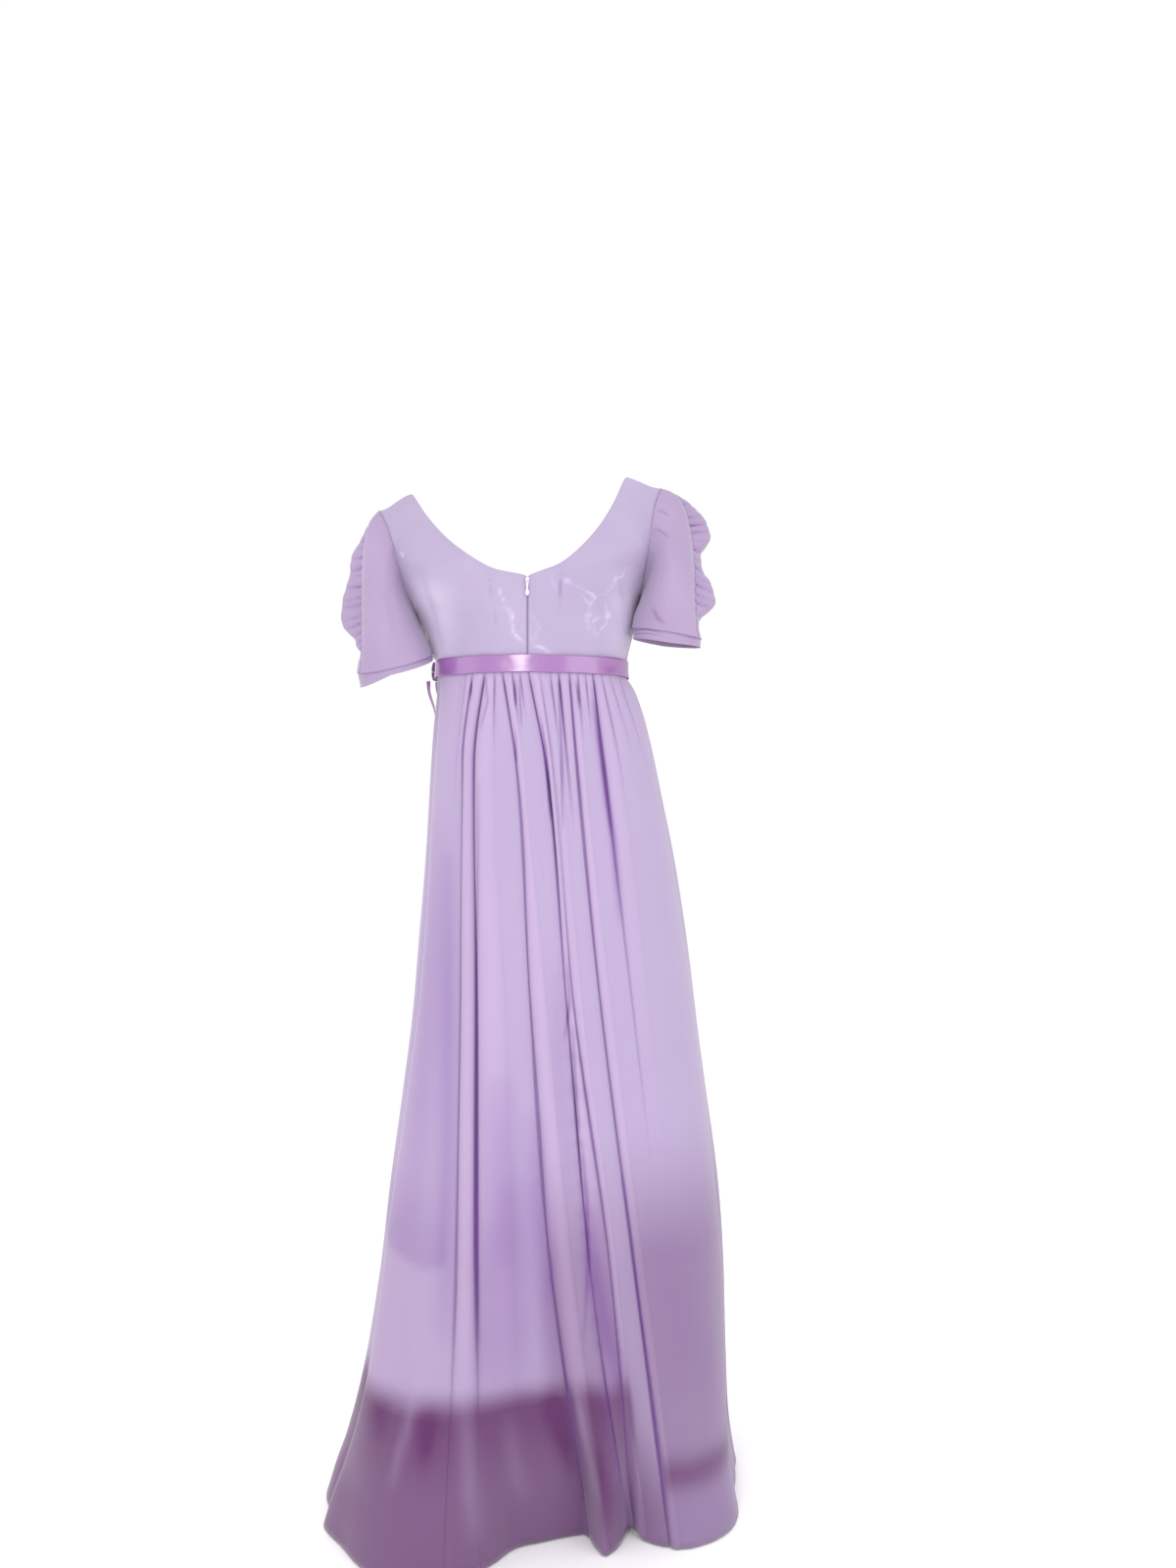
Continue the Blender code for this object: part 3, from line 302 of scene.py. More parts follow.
# darts and the front creases below: the sunk ones get painted shade along them too
DARTS = (
    (((36, -150), (31, -186), (26, -226)), 1.0, -0.55),
    (((-67, -142), (-65, -176), (-62, -214)), 1.0, -0.55),
)
FRONT_CREASES = (
    (((84, -270), (78, -240), (70, -212)), 1.3, -0.60),
    (((-106, -268), (-104, -238), (-98, -208)), 1.3, -0.60),
    (((30, -268), (26, -238), (16, -205)), 4.0, 0.50),
    (((-62, -268), (-58, -236), (-48, -200)), 4.0, 0.50),
    (((118, -150), (88, -178), (66, -190)), 5.0, -0.60),
    (((-160, -136), (-128, -164), (-104, -178)), 5.0, -0.60),
)

# --- sleeves: sizes of the cuff ring, before the lean --------------------------------------
SLEEVE = ("side", "sign", "x", "z", "half_width", "half_depth", "drop", "tilt", "head", "foot", "band",
          "band_out")
SLEEVES = (
    ("left", 1, 0.2028, -0.2534, 0.0555, 0.0500, 8.5, 15.5, 0.040, -0.016, 0.0110, 0.0243),
    ("right", -1, 0.2013, -0.2419, 0.0502, 0.0480, 14.5, 3.5, 0.062, -0.003, 0.0181, 0.0141),
)
SLEEVE_Y = 0.034
# grooves of the folded cuff, darkened with painted shade: place down the band and strength
CUFF_GROOVES = ((0.30, 0.7), (0.62, 0.45))
# how far the sleeve bulges and hangs over its cuff
OVERHANG = 0.0016
OVERHANG_DROP = 0.0028
ARM_X = 0.203
CUFF_SLANT = 6.0
OUTER_SEAM = 30.0
# how far the front half puffs out past the outer seam: place down the seam, reach
PUFFS = {
    "left": ((0.0, 0.0), (0.20, 0.0039), (0.30, 0.0111), (0.385, 0.0193), (0.503, 0.0212), (0.615, 0.0279),
             (0.687, 0.0287), (0.757, 0.0223), (0.81, 0.0080), (0.862, 0.0036), (0.89, -0.0030), (0.94, 0.0020),
             (1.0, 0.0)),
    "right": ((0.0, 0.0), (0.15, 0.0089), (0.27, 0.0187), (0.36, 0.0270), (0.47, 0.0256), (0.51, 0.0139),
              (0.545, 0.0098), (0.61, 0.0095), (0.675, 0.0189), (0.738, 0.0237), (0.79, 0.0252), (0.84, 0.0154),
              (0.875, 0.0038), (1.0, 0.0)),
}
# tucks gathered into the outer seam: place down the seam, slant, width and depth
TUCKS = {
    "left": ((0.10, 0.1, 0.016, 0.0010), (0.17, 0.2, 0.012, 0.0018), (0.235, 0.1, 0.010, 0.0012),
             (0.29, 0.3, 0.013, 0.0026), (0.345, -0.1, 0.008, 0.0014), (0.395, 0.2, 0.011, 0.0030),
             (0.45, 0.4, 0.014, 0.0034), (0.495, 0.1, 0.008, 0.0016), (0.545, 0.3, 0.012, 0.0032),
             (0.60, 0.5, 0.009, 0.0020), (0.64, 0.2, 0.010, 0.0028), (0.69, 0.7, 0.010, 0.0022),
             (0.725, 0.9, 0.009, 0.0030), (0.77, 1.0, 0.010, 0.0026), (0.805, 1.3, 0.009, 0.0034),
             (0.85, 1.4, 0.012, 0.0044), (0.91, 0.8, 0.010, 0.0018)),
    "right": ((0.14, 0.5, 0.016, 0.0014), (0.21, 0.6, 0.012, 0.0020), (0.265, 0.3, 0.009, 0.0014),
              (0.32, 0.2, 0.011, 0.0026), (0.375, -0.1, 0.009, 0.0046), (0.425, -0.3, 0.010, 0.0030),
              (0.465, 0.2, 0.008, 0.0016), (0.51, 0.5, 0.012, 0.0040), (0.555, 0.8, 0.009, 0.0022),
              (0.60, 1.0, 0.012, 0.0040), (0.65, 1.2, 0.009, 0.0020), (0.69, 1.3, 0.012, 0.0038),
              (0.745, 1.2, 0.010, 0.0024), (0.79, 1.0, 0.013, 0.0030), (0.86, 0.6, 0.011, 0.0016)),
}
# depth of a tuck whose painted shade line is drawn in full
DEEP_TUCK = 0.0034
# creases of the smooth back halves: path in mm (x, z), width and height in mm
SLEEVE_CREASES = {
    "left": ((((186, -176), (176, -208), (168, -238)), 6.0, -1.2),
             (((222, -120), (214, -170), (206, -222)), 9.0, 0.9)),
    "right": ((((-203, -48), (-212, -48), (-224, -57)), 1.5, -1.0),
              (((-199, -77), (-209, -80), (-222, -92)), 1.5, -1.1),
              (((-196, -196), (-204, -212), (-214, -220)), 3.0, -1.2),
              (((-214, -110), (-226, -150), (-240, -186)), 7.0, 0.9)),
}

# --- ribbon ----------------------------------------------------------------------------------
RIBBON_TOP_Z = -0.2665
RIBBON_FOOT_Z = -0.2918
RIBBON_Z = (RIBBON_TOP_Z + RIBBON_FOOT_Z) / 2
# height whose section the ribbon goes round, and how far it stands off that
WAIST_Z = -0.280
RIBBON_LIFT = 0.0019
# knot: its turn, and its width, depth and height
KNOT_TURN = 350.0
KNOT_SIZE = (0.021, 0.009, 0.029)
# the ribbon's two ends: node, turn at the knot, turn it drifts by, foot height and bulge
TAILS = (
    ("ribbon_tail_long", 353.6, 1.5, -0.545, 0.0120),
    ("ribbon_tail_short", 346.8, -6.5, -0.490, 0.0040),
)
TAIL_WIDTH = 0.024
TAIL_NECK = 0.011

# --- zip: half width, depth behind the crepe and wall of the tape, share of the rib for each
# --- metre across, count and radii of the coil's teeth, and their depth behind the tape
ZIP_GAP = 0.0006
TAPE_HALF = 0.011
TAPE_DEPTH = 0.0021
TAPE_WALL = 0.0005
TAPE_ACROSS = 0.62 / 0.146
TEETH = 78
TOOTH_RADIUS = 0.0013
TOOTH_WIRE = 0.00028
TOOTH_SQUASH = 0.42
TOOTH_TILT = 14


def tint(red, green, blue):
    """Linear colour given in display values from 0 to 255, for the cloth's own colours and for painted light.
    """
    levels = np.array((red, green, blue)) / 255
    linear = np.where(levels < 0.04045, levels / 12.92, ((levels + 0.055) / 1.055) ** 2.4)
    return tuple(float(v) for v in linear)


def length(label, note, value):
    return FloatProperty(name=label, description=note, default=value, min=0, unit="LENGTH",
                         subtype="DISTANCE")


def dye(label, note, *values):
    return FloatVectorProperty(name=label, description=note, default=tint(*values), size=3, subtype="COLOR",
                               min=0, max=1)


class GownCloth(PropertyGroup):
    chiffon: length("Chiffon wall", "Thickness of the outer skirt cloth", 0.0005)
    crepe: length("Crepe wall", "Thickness of the bodice cloth", 0.0008)
    sleeve: length("Sleeve wall", "Thickness of the sleeve and cuff cloth", 0.0007)
    lining: length("Lining wall", "Thickness of the skirt lining", 0.0005)
    satin: length("Satin wall", "Thickness of the ribbon", 0.0005)
    hem_roll: length("Hem roll", "How far the rolled hem stands out", 0.0007)
    edge_roll: length("Edge roll", "How far seam edges turn inwards", 0.0009)
    pucker: length("Seam pucker", "Depth of the puckers beside the back seam", 0.0007)
    steepest: FloatProperty(name="Steepest gather", default=0.30, min=0.1, max=1,
                            description="Largest relief as a share of the fold spacing")
    sheerness: FloatProperty(name="Sheerness", default=0.18, min=0, max=0.9, subtype="FACTOR",
                             description="How much of the lining each chiffon face lets through")


# Colours of the gown: the cloth's own dyes, and colours that paint shade (hollow, shade, plum) and highlights
# (glint, and partly ridge) over it
class GownDyesAndPaintedLight(PropertyGroup):
    flat: dye("Chiffon flats", "Colour of the chiffon where it lies flat", 178, 160, 195)
    # painted highlight along the raised folds, partly the pinker double layer of chiffon there
    ridge: dye("Chiffon ridges", "Pinker colour along the folds", 186, 164, 200)
    # painted shade: the colour laid into hollows, creases, grooves, seams and edges of every cloth piece
    hollow: dye("Chiffon hollows", "Colour deep in the gathers", 114, 70, 144)
    shade: dye("Chiffon shade", "Colour of the broad soft shadows between folds", 140, 108, 170)
    # painted shade: the dark inside of the skirt seen through the unlined chiffon below the lining
    plum: dye("Unlined chiffon", "Colour below the lining", 92, 38, 94)
    slate: dye("Cool chiffon", "Cooler colour near the right hem", 141, 117, 160)
    crepe: dye("Crepe", "Colour of the bodice", 160, 146, 175)
    glint: dye("Crepe glints", "Colour of the bodice where its creases catch the light", 238, 228, 248)
    sleeve: dye("Sleeve", "Colour of the sleeves", 154, 135, 167)
    lining: dye("Lining", "Colour of the skirt lining", 176, 156, 204)
    ribbon: dye("Ribbon", "Colour of the satin ribbon", 139, 90, 153)
    enamel: dye("Enamel", "Colour of the zip slider and its pull", 222, 216, 230)
    floor: dye("Floor", "Colour of the floor", 254, 254, 254)


class GownStage(PropertyGroup):
    floor_size: length("Floor", "Side of the floor", 14.0)
    lens: FloatProperty(name="Lens", description="Focal length in millimetres", default=27.0)
    key: FloatProperty(name="Key light", description="Power of the main softbox in watts", default=20.0)
    fill: FloatProperty(name="Fill light", description="Power of the second softbox in watts", default=16.0)
    air: FloatProperty(name="Surround", description="Strength of the white surround", default=1.02)


# ------------------------------------------------------------------------------ arithmetic
def ease(t):
    t = np.clip(t, 0.0, 1.0)
    return t * t * (3 - 2 * t)


def mix(a, b, t):
    return a + (b - a) * t


def spline(xs, ys, x):
    """Smooth monotone curve through the rows (xs rising), for arrays of x."""
    xs = np.asarray(xs, float)
    ys = np.asarray(ys, float)
    x = np.clip(np.asarray(x, float), xs[0], xs[-1])
    i = np.clip(np.searchsorted(xs, x, side="right") - 1, 0, len(xs) - 2)
    rise = np.diff(ys) / np.diff(xs)
    before = np.concatenate((rise[:1], rise))
    after = np.concatenate((rise, rise[-1:]))
    slope = np.where(before * after > 0, 0.5 * (before + after), 0.0)
    step = xs[i + 1] - xs[i]
    t = (x - xs[i]) / step
    return ((2 * t**3 - 3 * t**2 + 1) * ys[i] + (t**3 - 2 * t**2 + t) * step * slope[i]
            + (3 * t**2 - 2 * t**3) * ys[i + 1] + (t**3 - t**2) * step * slope[i + 1])


def by_height(rows, index, z):
    return spline([-row[0] for row in rows], [row[index] for row in rows], -z)


def across_at(places, z):
    """X at each height of a line given by its places in mm at the levels."""
    return spline([-level for level in LEVELS], places, -z) / 1000


def bell(distance, width):
    return np.exp(-(distance / width) ** 2)


def bezier(start, first, last, end, t):
    return start * (1 - t)**3 + first * 3 * t * (1 - t)**2 + last * 3 * t * t * (1 - t) + end * t**3


def unit(v):
    return v / np.maximum(np.linalg.norm(v, axis=-1, keepdims=True), 1e-9)


def toward(row, other, amount):
    """Moves the points of a grid edge towards the next row of the grid."""
    return row + unit(other - row) * amount


def moved(points, way, reach):
    return points + way * reach[..., None]


# ---------------------------------------------------------------------------- skirt surface
def section(z):
    return {name: by_height(SECTIONS, i, z) for i, name in enumerate(SECTION) if i}


def middle_and_half(size):
    return (size["left"] + size["right"]) / 2, (size["left"] - size["right"]) / 2


def ring(size, turn):
    """Plan points of section rings at turns in degrees, 0 at the left side, 90 at the back."""
    middle, half = middle_and_half(size)
    c = np.cos(np.radians(turn))
    s = np.sin(np.radians(turn))
    power = 2 / np.where(s > 0, size["square_back"], size["square_front"])
    reach = np.where(s > 0, size["back"], size["front"])
    x = middle + half * np.where(c > 0, 1, -1) * np.abs(c) ** power
    return np.stack((x, reach * np.abs(s) ** power), axis=-1)


def ring_out(size, turn):
    along = ring(size, turn + 1.0) - ring(size, turn - 1.0)
    return unit(np.stack((along[..., 1], -along[..., 0]), axis=-1))


def turn_of(size, x):
    middle, half = middle_and_half(size)
    q = np.clip((x - middle) / half, -0.9995, 0.9995)
    c = np.abs(q) ** (size["square_back"] / 2)
    return np.degrees(np.arccos(np.where(q > 0, c, -c)))


def fold_marks(z, steepest):
    """Of every hollow and ridge at each height: turn, relief, strength, and the gap to the next."""
    z = np.asarray(z, float)
    size = section(z)
    turns = []
    heights = []
    for number, (hollow, ridge, depth, rise, foot) in enumerate(GATHERS):
        left = 1 - ease((EMPIRE_Z - z) / (EMPIRE_Z - foot))
        if number in SOFT_GATHERS:
            left = left * (1 - 0.85 * ease((-1.14 - z) / 0.16))
        if number == LOW_GATHER:
            left = 0.25 + 0.75 * ease((-0.50 - z) / 0.35)
        for places, height in ((hollow, -depth), (ridge, rise)):
            turns.append(turn_of(size, across_at(places, z)))
            heights.append(height * left)
    share = (EMPIRE_Z - z) / (EMPIRE_Z - HEM_Z)
    for waist, hem, strength in FOLDS:
        turns.append(mix(waist, hem, share))
        heights.append(strength + 0 * z)
    turns.append(turns[0] + 360)
    heights.append(heights[0])
    for i in range(1, MARKS + 1):
        turns[i] = np.maximum(turns[i], turns[i - 1] + 0.5)
    turns[MARKS] = turns[0] + 360
    turns = np.stack(turns, axis=1)
    heights = np.stack(heights, axis=1)
    gaps = np.linalg.norm(np.diff(ring(section(z[:, None]), turns), axis=1), axis=-1)
    nearest = np.minimum(gaps, np.roll(gaps, 1, axis=1))
    nearest = np.concatenate((nearest, nearest[:, :1]), axis=1)
    room = steepest * nearest
    lift = np.clip(heights * by_height(RELIEF, 1, z)[:, None], -room, room)
    return turns, lift, heights, gaps


def draped(size, turn, z, lift):
    """Skirt points from turns and heights, moved out by lift, with the hem's sweep."""
    spot = moved(ring(size, turn), ring_out(size, turn), lift)
    spread = ease((SWEEP_TOP_Z - z) / (SWEEP_TOP_Z - HEM_Z)) ** 1.4
    reach = spline(*np.array(SWEEP).T / 1000, spot[..., 0])
    y = spot[..., 1] + np.where(np.sin(np.radians(turn)) > 0, reach * spread, 0.0)
    return np.stack((spot[..., 0], y, z + 0 * y), axis=-1)


def crest(share, mark):
    """Height between a hollow and a ridge, 0 at the hollow: steep there, broad at the ridge."""
    rising = np.where(mark % 2 == 0, share, 1 - share)
    return (1 - (1 - rising) ** 2.4) ** 0.9, rising


def skirt_surface(turn, z, steepest):
    """Outer face of the skirt at any turns; turn has a row for each height of z."""
    folds = fold_marks(z, steepest)
    turns = folds[0]
    place = (turn - turns[:, :1]) % 360 + turns[:, :1]
    mark = np.stack([np.searchsorted(t, p, side="right") - 1 for t, p in zip(turns, place)])
    mark = np.clip(mark, 0, MARKS - 1)
    first = np.take_along_axis(turns, mark, 1)
    share = (place - first) / (np.take_along_axis(turns, mark + 1, 1) - first)
    return shaped(place, z[:, None], mark, share, folds, 0.0)[0]


def shaped(turn, tall, mark, share, folds, out):
    """Points, and the masks of painted shade in the hollows and painted highlight on the ridges, on the
    gathered skirt.
    """
    _, lift, heights, gaps = folds
    wave, rising = crest(share, mark)
    fold = mark >= 2 * len(GATHERS)
    wave = np.where(fold, mix(wave, ease(rising), 0.5), wave)
    low = np.where(mark % 2 == 0, mark, mark + 1)
    high = np.where(mark % 2 == 0, mark + 1, mark)
    from_hollow = rising * np.take_along_axis(gaps, mark, 1)
    strength = -np.take_along_axis(heights, low, 1)
    fade = ease((EMPIRE_Z - 0.004 - tall) / 0.03)
    line = bell(from_hollow, FOLD_LINE) * np.clip(strength, 0, 1.4) * fade
    line = line * np.where(low >= 2 * len(GATHERS), 0.55, 1.0)
    shade = np.exp(-from_hollow / FOLD_SHADE) * np.clip(strength - 0.60, 0, 1) * fade
    firm = 0.42 + 0.20 * ease((tall + 0.50) / 0.16)
    # hollow: painted dark line and soft shade in each hollow; ridge: painted highlight on the fold tops, partly
    # the double layer of cloth there
    masks = {"hollow": np.clip(firm * line + 0.22 * shade, 0, 1),
             "ridge": wave * np.clip(np.take_along_axis(heights, high, 1), 0, 1.3)}
    relief = mix(np.take_along_axis(lift, low, 1), np.take_along_axis(lift, high, 1), wave)
    return draped(section(tall), turn, tall, relief + out - FOLD_GROOVE * line), masks


# --------------------------------------------------------------------------- bodice surface
def lean(points, full=False):
    """Leans upright points to the wearer's left; the bodice takes up the lean above the ribbon."""
    height = points[..., 2] - EMPIRE_Z
    angle = radians(LEAN) * (1.0 if full else ease(height / LEAN_RISE))
    across = points[..., 0]
    x = WAIST_X + across * np.cos(angle) + height * np.sin(angle)
    z = EMPIRE_Z + height * np.cos(angle) - across * np.sin(angle)
    if not full:
        swell = SWAY * ease((height - RIBBON_RISE) / 0.010) * ease((0.068 - height) / 0.036)
        shift = SHIFT * (1 - ease((height - RIBBON_RISE) / 0.04))
        x = x + shift + swell * (np.clip(across, 0, 1) / 0.15) ** 2
        middle = WAIST_X + shift + height * np.sin(angle)
        x = x + (BACK_X - middle) * ease(1 - np.abs(across) / 0.165)
    return np.stack((x, points[..., 1], z), axis=-1)


def rib_at(ribs, up):
    steps = np.arange(len(ribs))
    values = {}
    for i, name in enumerate(RIB):
        column = [rib[i] for rib in ribs]
        value = spline(steps, column, up)
        if "out" in name:
            upper = spline(steps[ARMPIT_RIB:], column[ARMPIT_RIB:], up)
            value = np.where(up > ARMPIT_RIB, upper, value)
        values[name] = value
    return values


def upright(ribs, across, up):
    """Bodice points before the lean; across runs from the centre or neck edge to the side."""
    rib = rib_at(ribs, up)
    inner = np.stack((rib["x_in"], rib["y_in"]), axis=-1)
    outer = np.stack((rib["x_out"], rib["y_out"]), axis=-1)
    reach = outer - inner
    flat = rib["flat"][..., None]
    level = reach * np.array((QUARTER_ROUND, 0.0))
    deep = reach * np.array((0.0, QUARTER_ROUND))
    first = mix(inner + level, inner + reach / 3, flat)
    last = mix(outer - deep, outer - reach / 3, flat)
    spot = bezier(inner, first, last, outer, across[..., None])
    z = mix(rib["z_in"], rib["z_out"], ease(across))
    return np.concatenate((spot, z[..., None]), axis=-1)


def cuff_point(sleeve, angle, low):
    """Cuff ring points before the lean; angle 0 outer, 90 back, 180 against the body."""
    drop = radians(sleeve["drop"])
    tilt = radians(sleeve["tilt"])
    a = np.radians(angle)
    band = mix(sleeve["band"], sleeve["band_out"], np.clip(np.cos(a), 0, 1)) * low
    wide = sleeve["half_width"] * np.cos(a)
    deep = sleeve["half_depth"] * np.sin(a)
    x = sleeve["x"] + wide * np.cos(drop) - np.sin(radians(CUFF_SLANT)) * band
    y = SLEEVE_Y + deep * np.cos(tilt)
    z = sleeve["z"] - wide * np.sin(drop) - deep * np.sin(tilt) - band
    return np.stack((x, y + 0 * x, z), axis=-1)


def sleeve_point(sleeve, ribs, around, down):
    """Sleeve points before the lean; around is 0 at the armpit and 1 at the outer seam."""
    start = upright(ribs, np.ones_like(around), mix(ARMPIT_RIB, TOP_RIB, around))
    back = ribs is BACK_RIBS
    angle = mix(180 if back else -180, OUTER_SEAM, around)
    end = cuff_point(sleeve, angle, 0.0)
    rise = ease(around)
    y_out = 0.016 * np.sin(pi * around) * (1 if back else -1)
    first = start + np.stack((mix(0.003, sleeve["head"], rise), y_out, mix(-0.008, -0.012, rise)), axis=-1)
    a = np.radians(angle)
    swell = np.stack((np.cos(a) * sleeve["foot"], np.sin(a) * 0.026, 0 * a), axis=-1)
    last = end + swell * (0.05 + 0.95 * rise)[..., None]
    last[..., 2] += mix(0.022, 0.070, rise)
    off = 1 - around
    near = 0.0 if back else ease(off / 0.12) * ease((0.62 - off) / 0.42)
    bulge = spline(*np.array(PUFFS[sleeve["side"]]).T, down) * near
    out = np.stack((np.cos(a), np.sin(a), 0 * a), axis=-1)
    return moved(bezier(start, first, last, end, down[..., None]), out, bulge)


# ------------------------------------------------------------------------------ grid shaping
def grid(across, up):
    """Two matching arrays: across varies along a row, up from row to row."""
    return np.meshgrid(np.asarray(across, float), np.asarray(up, float))


def spread_out(count):
    return np.linspace(0, 1, count)


def circle(count):
    return np.linspace(0, 360, count, endpoint=False)


def out_of(points, centre=(WAIST_X, 0, 0)):
    """Rough outward directions, level, away from an upright axis."""
    away = points - np.asarray(centre)
    away[..., 2] = 0
    return away


def normals(points, away):
    along = np.gradient(points, axis=1)
    down = np.gradient(points, axis=0)
    face = unit(np.cross(along, down))
    side = np.sign(np.sum(face * away, axis=-1, keepdims=True).mean())
    return face * (side if side else 1.0)


def edge_gap(points, edge):
    """Distance of every grid point from one edge, along the grid."""
    axis = 1 if edge in ("first", "last") else 0
    step = np.linalg.norm(np.diff(points, axis=axis), axis=-1)
    pad = np.zeros_like(np.take(points[..., 0], [0], axis=axis))
    gone = np.concatenate((pad, np.cumsum(step, axis=axis)), axis=axis)
    if edge in ("last", "top"):
        gone = np.take(gone, [-1], axis=axis) - gone
    return gone


def evened(points, rows):
    """Evens a grid from row to row by a bell of that many rows; the end rows stay."""
    reach = np.arange(-3 * rows, 3 * rows + 1)
    weight = np.exp(-0.5 * (reach / rows) ** 2)
    weight = weight / weight.sum()
    before = 2 * points[:1] - points[3 * rows:0:-1]
    after = 2 * points[-1:] - points[-2:-3 * rows - 2:-1]
    padded = np.concatenate((before, points, after))
    return sum(w * padded[k:k + len(points)] for k, w in enumerate(weight))


def turned_in(edge, width):
    """1 at an edge, fading to 0 at the given width from it."""
    return np.clip(1 - edge / width, 0, 1) ** 2


def nearest_edge(points, edges):
    return np.min([edge_gap(points, edge) for edge in edges], axis=0)


def stroke(points, path, width):
    """Weight of each point by its distance from a path, fading at the path's ends."""
    spots = points[..., (0, 2)]
    marks = np.asarray(path, float) / 1000
    legs = np.linalg.norm(np.diff(marks, axis=0), axis=1)
    total = legs.sum()
    best = np.full(spots.shape[:-1], 1e9)
    travel = np.zeros_like(best)
    gone = 0.0
    for a, b, leg in zip(marks, marks[1:], legs):
        t = np.clip(((spots - a) @ (b - a)) / leg**2, 0, 1)
        far = np.linalg.norm(spots - (a + t[..., None] * (b - a)), axis=-1)
        travel = np.where(far < best, gone + t * leg, travel)
        best = np.minimum(best, far)
        gone += leg
    taper = np.clip(np.minimum(travel, total - travel) / (0.35 * total), 0, 1) ** 0.6
    return bell(best, width / 1000) * (0.15 + 0.85 * taper)


def painted(points, rows):
    """Sum of the strokes of a table, each times its own strength."""
    return sum(stroke(points, path, width) * strength for path, width, strength in rows)


def ripple(points, seed, scale, amount):
    """Small smooth unevenness from a few crossing waves."""
    rng = np.random.default_rng(seed)
    total = 0
    for turn in range(5):
        way = unit(rng.normal(size=3)) * 2 * pi / (scale * rng.uniform(0.6, 1.5))
        total = total + np.sin(points @ way + rng.uniform(0, 6.28))
    return total * amount / 2.2


def cut_map(points, closed):
    """Cloth coordinates in metres: along the middle row, and down each column."""
    middle = points[len(points) // 2]
    ends = np.concatenate((middle, middle[:1])) if closed else middle
    u = np.concatenate(([0], np.cumsum(np.linalg.norm(np.diff(ends, axis=0), axis=-1))))
    down = np.linalg.norm(np.diff(points, axis=0), axis=-1)
    v = np.concatenate((np.zeros((1, points.shape[1])), np.cumsum(down, axis=0)))
    return u, v


# scale of a wave texture whose bands are one metre apart
WAVE = 0.314
# what a cloth grid can carry for its colours, painted shade and painted highlights, and its stitching
MASKS = ("hollow", "ridge", "hem_shade", "cool_tone_and_highlight", "shade", "stitch")


def cloth(name, sheets, wall, look, closed=False, weld=0.0):
    """Cloth piece from grids of points with their masks, given a wall on the inner side."""
    verts = []
    faces = []
    corners = []
    masks = {name: [] for name in MASKS}
    base = 0
    for points, marks, away in sheets:
        rows, wide = points.shape[:2]
        last = wide if closed else wide - 1
        r, c = np.meshgrid(np.arange(rows - 1), np.arange(last), indexing="ij")
        r = r.ravel()
        c = c.ravel()
        d = (c + 1) % wide
        quads = np.stack((r * wide + c, r * wide + d, (r + 1) * wide + d, (r + 1) * wide + c), axis=1)
        u, v = cut_map(points, closed)
        ends = ((c, r, c), (c + 1, r, d), (c + 1, r + 1, d), (c, r + 1, c))
        spots = np.stack([np.stack((u[at], v[row, column]), -1) for at, row, column in ends], axis=1)
        flat = points.reshape(-1, 3)
        face = np.cross(flat[quads[:, 2]] - flat[quads[:, 0]], flat[quads[:, 3]] - flat[quads[:, 1]])
        if np.sum(face * away.reshape(-1, 3)[quads[:, 0]]) < 0:
            quads = quads[:, ::-1]
            spots = spots[:, ::-1]
        verts.append(flat)
        faces.append(quads + base)
        corners.append(spots.reshape(-1, 2))
        base += len(flat)
        for key, values in masks.items():
            values.append(np.broadcast_to(marks.get(key, 0.0), points.shape[:2]).reshape(-1))
    mesh = bpy.data.meshes.new(name)
    mesh.from_pydata(np.concatenate(verts).tolist(), [], np.concatenate(faces).tolist())
    layer = mesh.uv_layers.new(name="cut")
    layer.data.foreach_set("uv", np.concatenate(corners).ravel())
    for key, values in masks.items():
        mesh.attributes.new(key, "FLOAT", "POINT").data.foreach_set("value", np.concatenate(values))
    if weld:
        body = bmesh.new()
        body.from_mesh(mesh)
        bmesh.ops.remove_doubles(body, verts=body.verts, dist=weld)
        body.to_mesh(mesh)
        body.free()
    mesh.polygons.foreach_set("use_smooth", [True] * len(mesh.polygons))
    mesh.materials.append(look)
    piece = bpy.data.objects.new(name, mesh)
    bpy.context.scene.collection.objects.link(piece)
    solid = piece.modifiers.new("wall", "SOLIDIFY")
    solid.thickness = wall
    solid.offset = -1.0
    solid.use_even_offset = False
    return piece


def sewn(piece, node):
    """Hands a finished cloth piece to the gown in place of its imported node."""
    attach(piece, "gown")
    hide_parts(node)


# --------------------------------------------------------------------------------- materials
def add(tree, kind, values=(), **settings):
    """Adds a shader node; values are sockets to link or numbers to set."""
    made = tree.nodes.new("ShaderNode" + kind)
    for name, value in settings.items():
        setattr(made, name, value)
    for socket, value in dict(values).items():
        if isinstance(value, bpy.types.NodeSocket):
            tree.links.new(value, made.inputs[socket])
        else:
            made.inputs[socket].default_value = value
    return made


def calc(tree, operation, a, b=0.0, clamp=False):
    return add(tree, "Math", {0: a, 1: b}, operation=operation, use_clamp=clamp).outputs[0]


def blended(tree, factor, a, b):
    made = add(tree, "Mix", {0: factor, 6: a, 7: b}, data_type="RGBA")
    return made.outputs[2]


def noise(tree, scale, detail=2.0, vector=None, **inputs):
    """Noise by place on the object, or by another vector."""
    vector = vector or add(tree, "TexCoord").outputs["Object"]
    inputs.update({"Vector": vector, "Scale": scale, "Detail": detail})
    return add(tree, "TexNoise", inputs).outputs["Fac"]


def wave(tree, cut, scale, direction):
    return add(tree, "TexWave", {"Vector": cut, "Scale": scale}, bands_direction=direction).outputs["Fac"]


def bump(tree, height, strength, distance, below=None, **settings):
    under = {"Normal": below} if below else {}
    return add(tree, "Bump", {"Height": height, "Strength": strength, "Distance": distance, **under},
               **settings).outputs[0]


def mask(tree, name):
    return add(tree, "Attribute", attribute_name=name).outputs["Fac"]


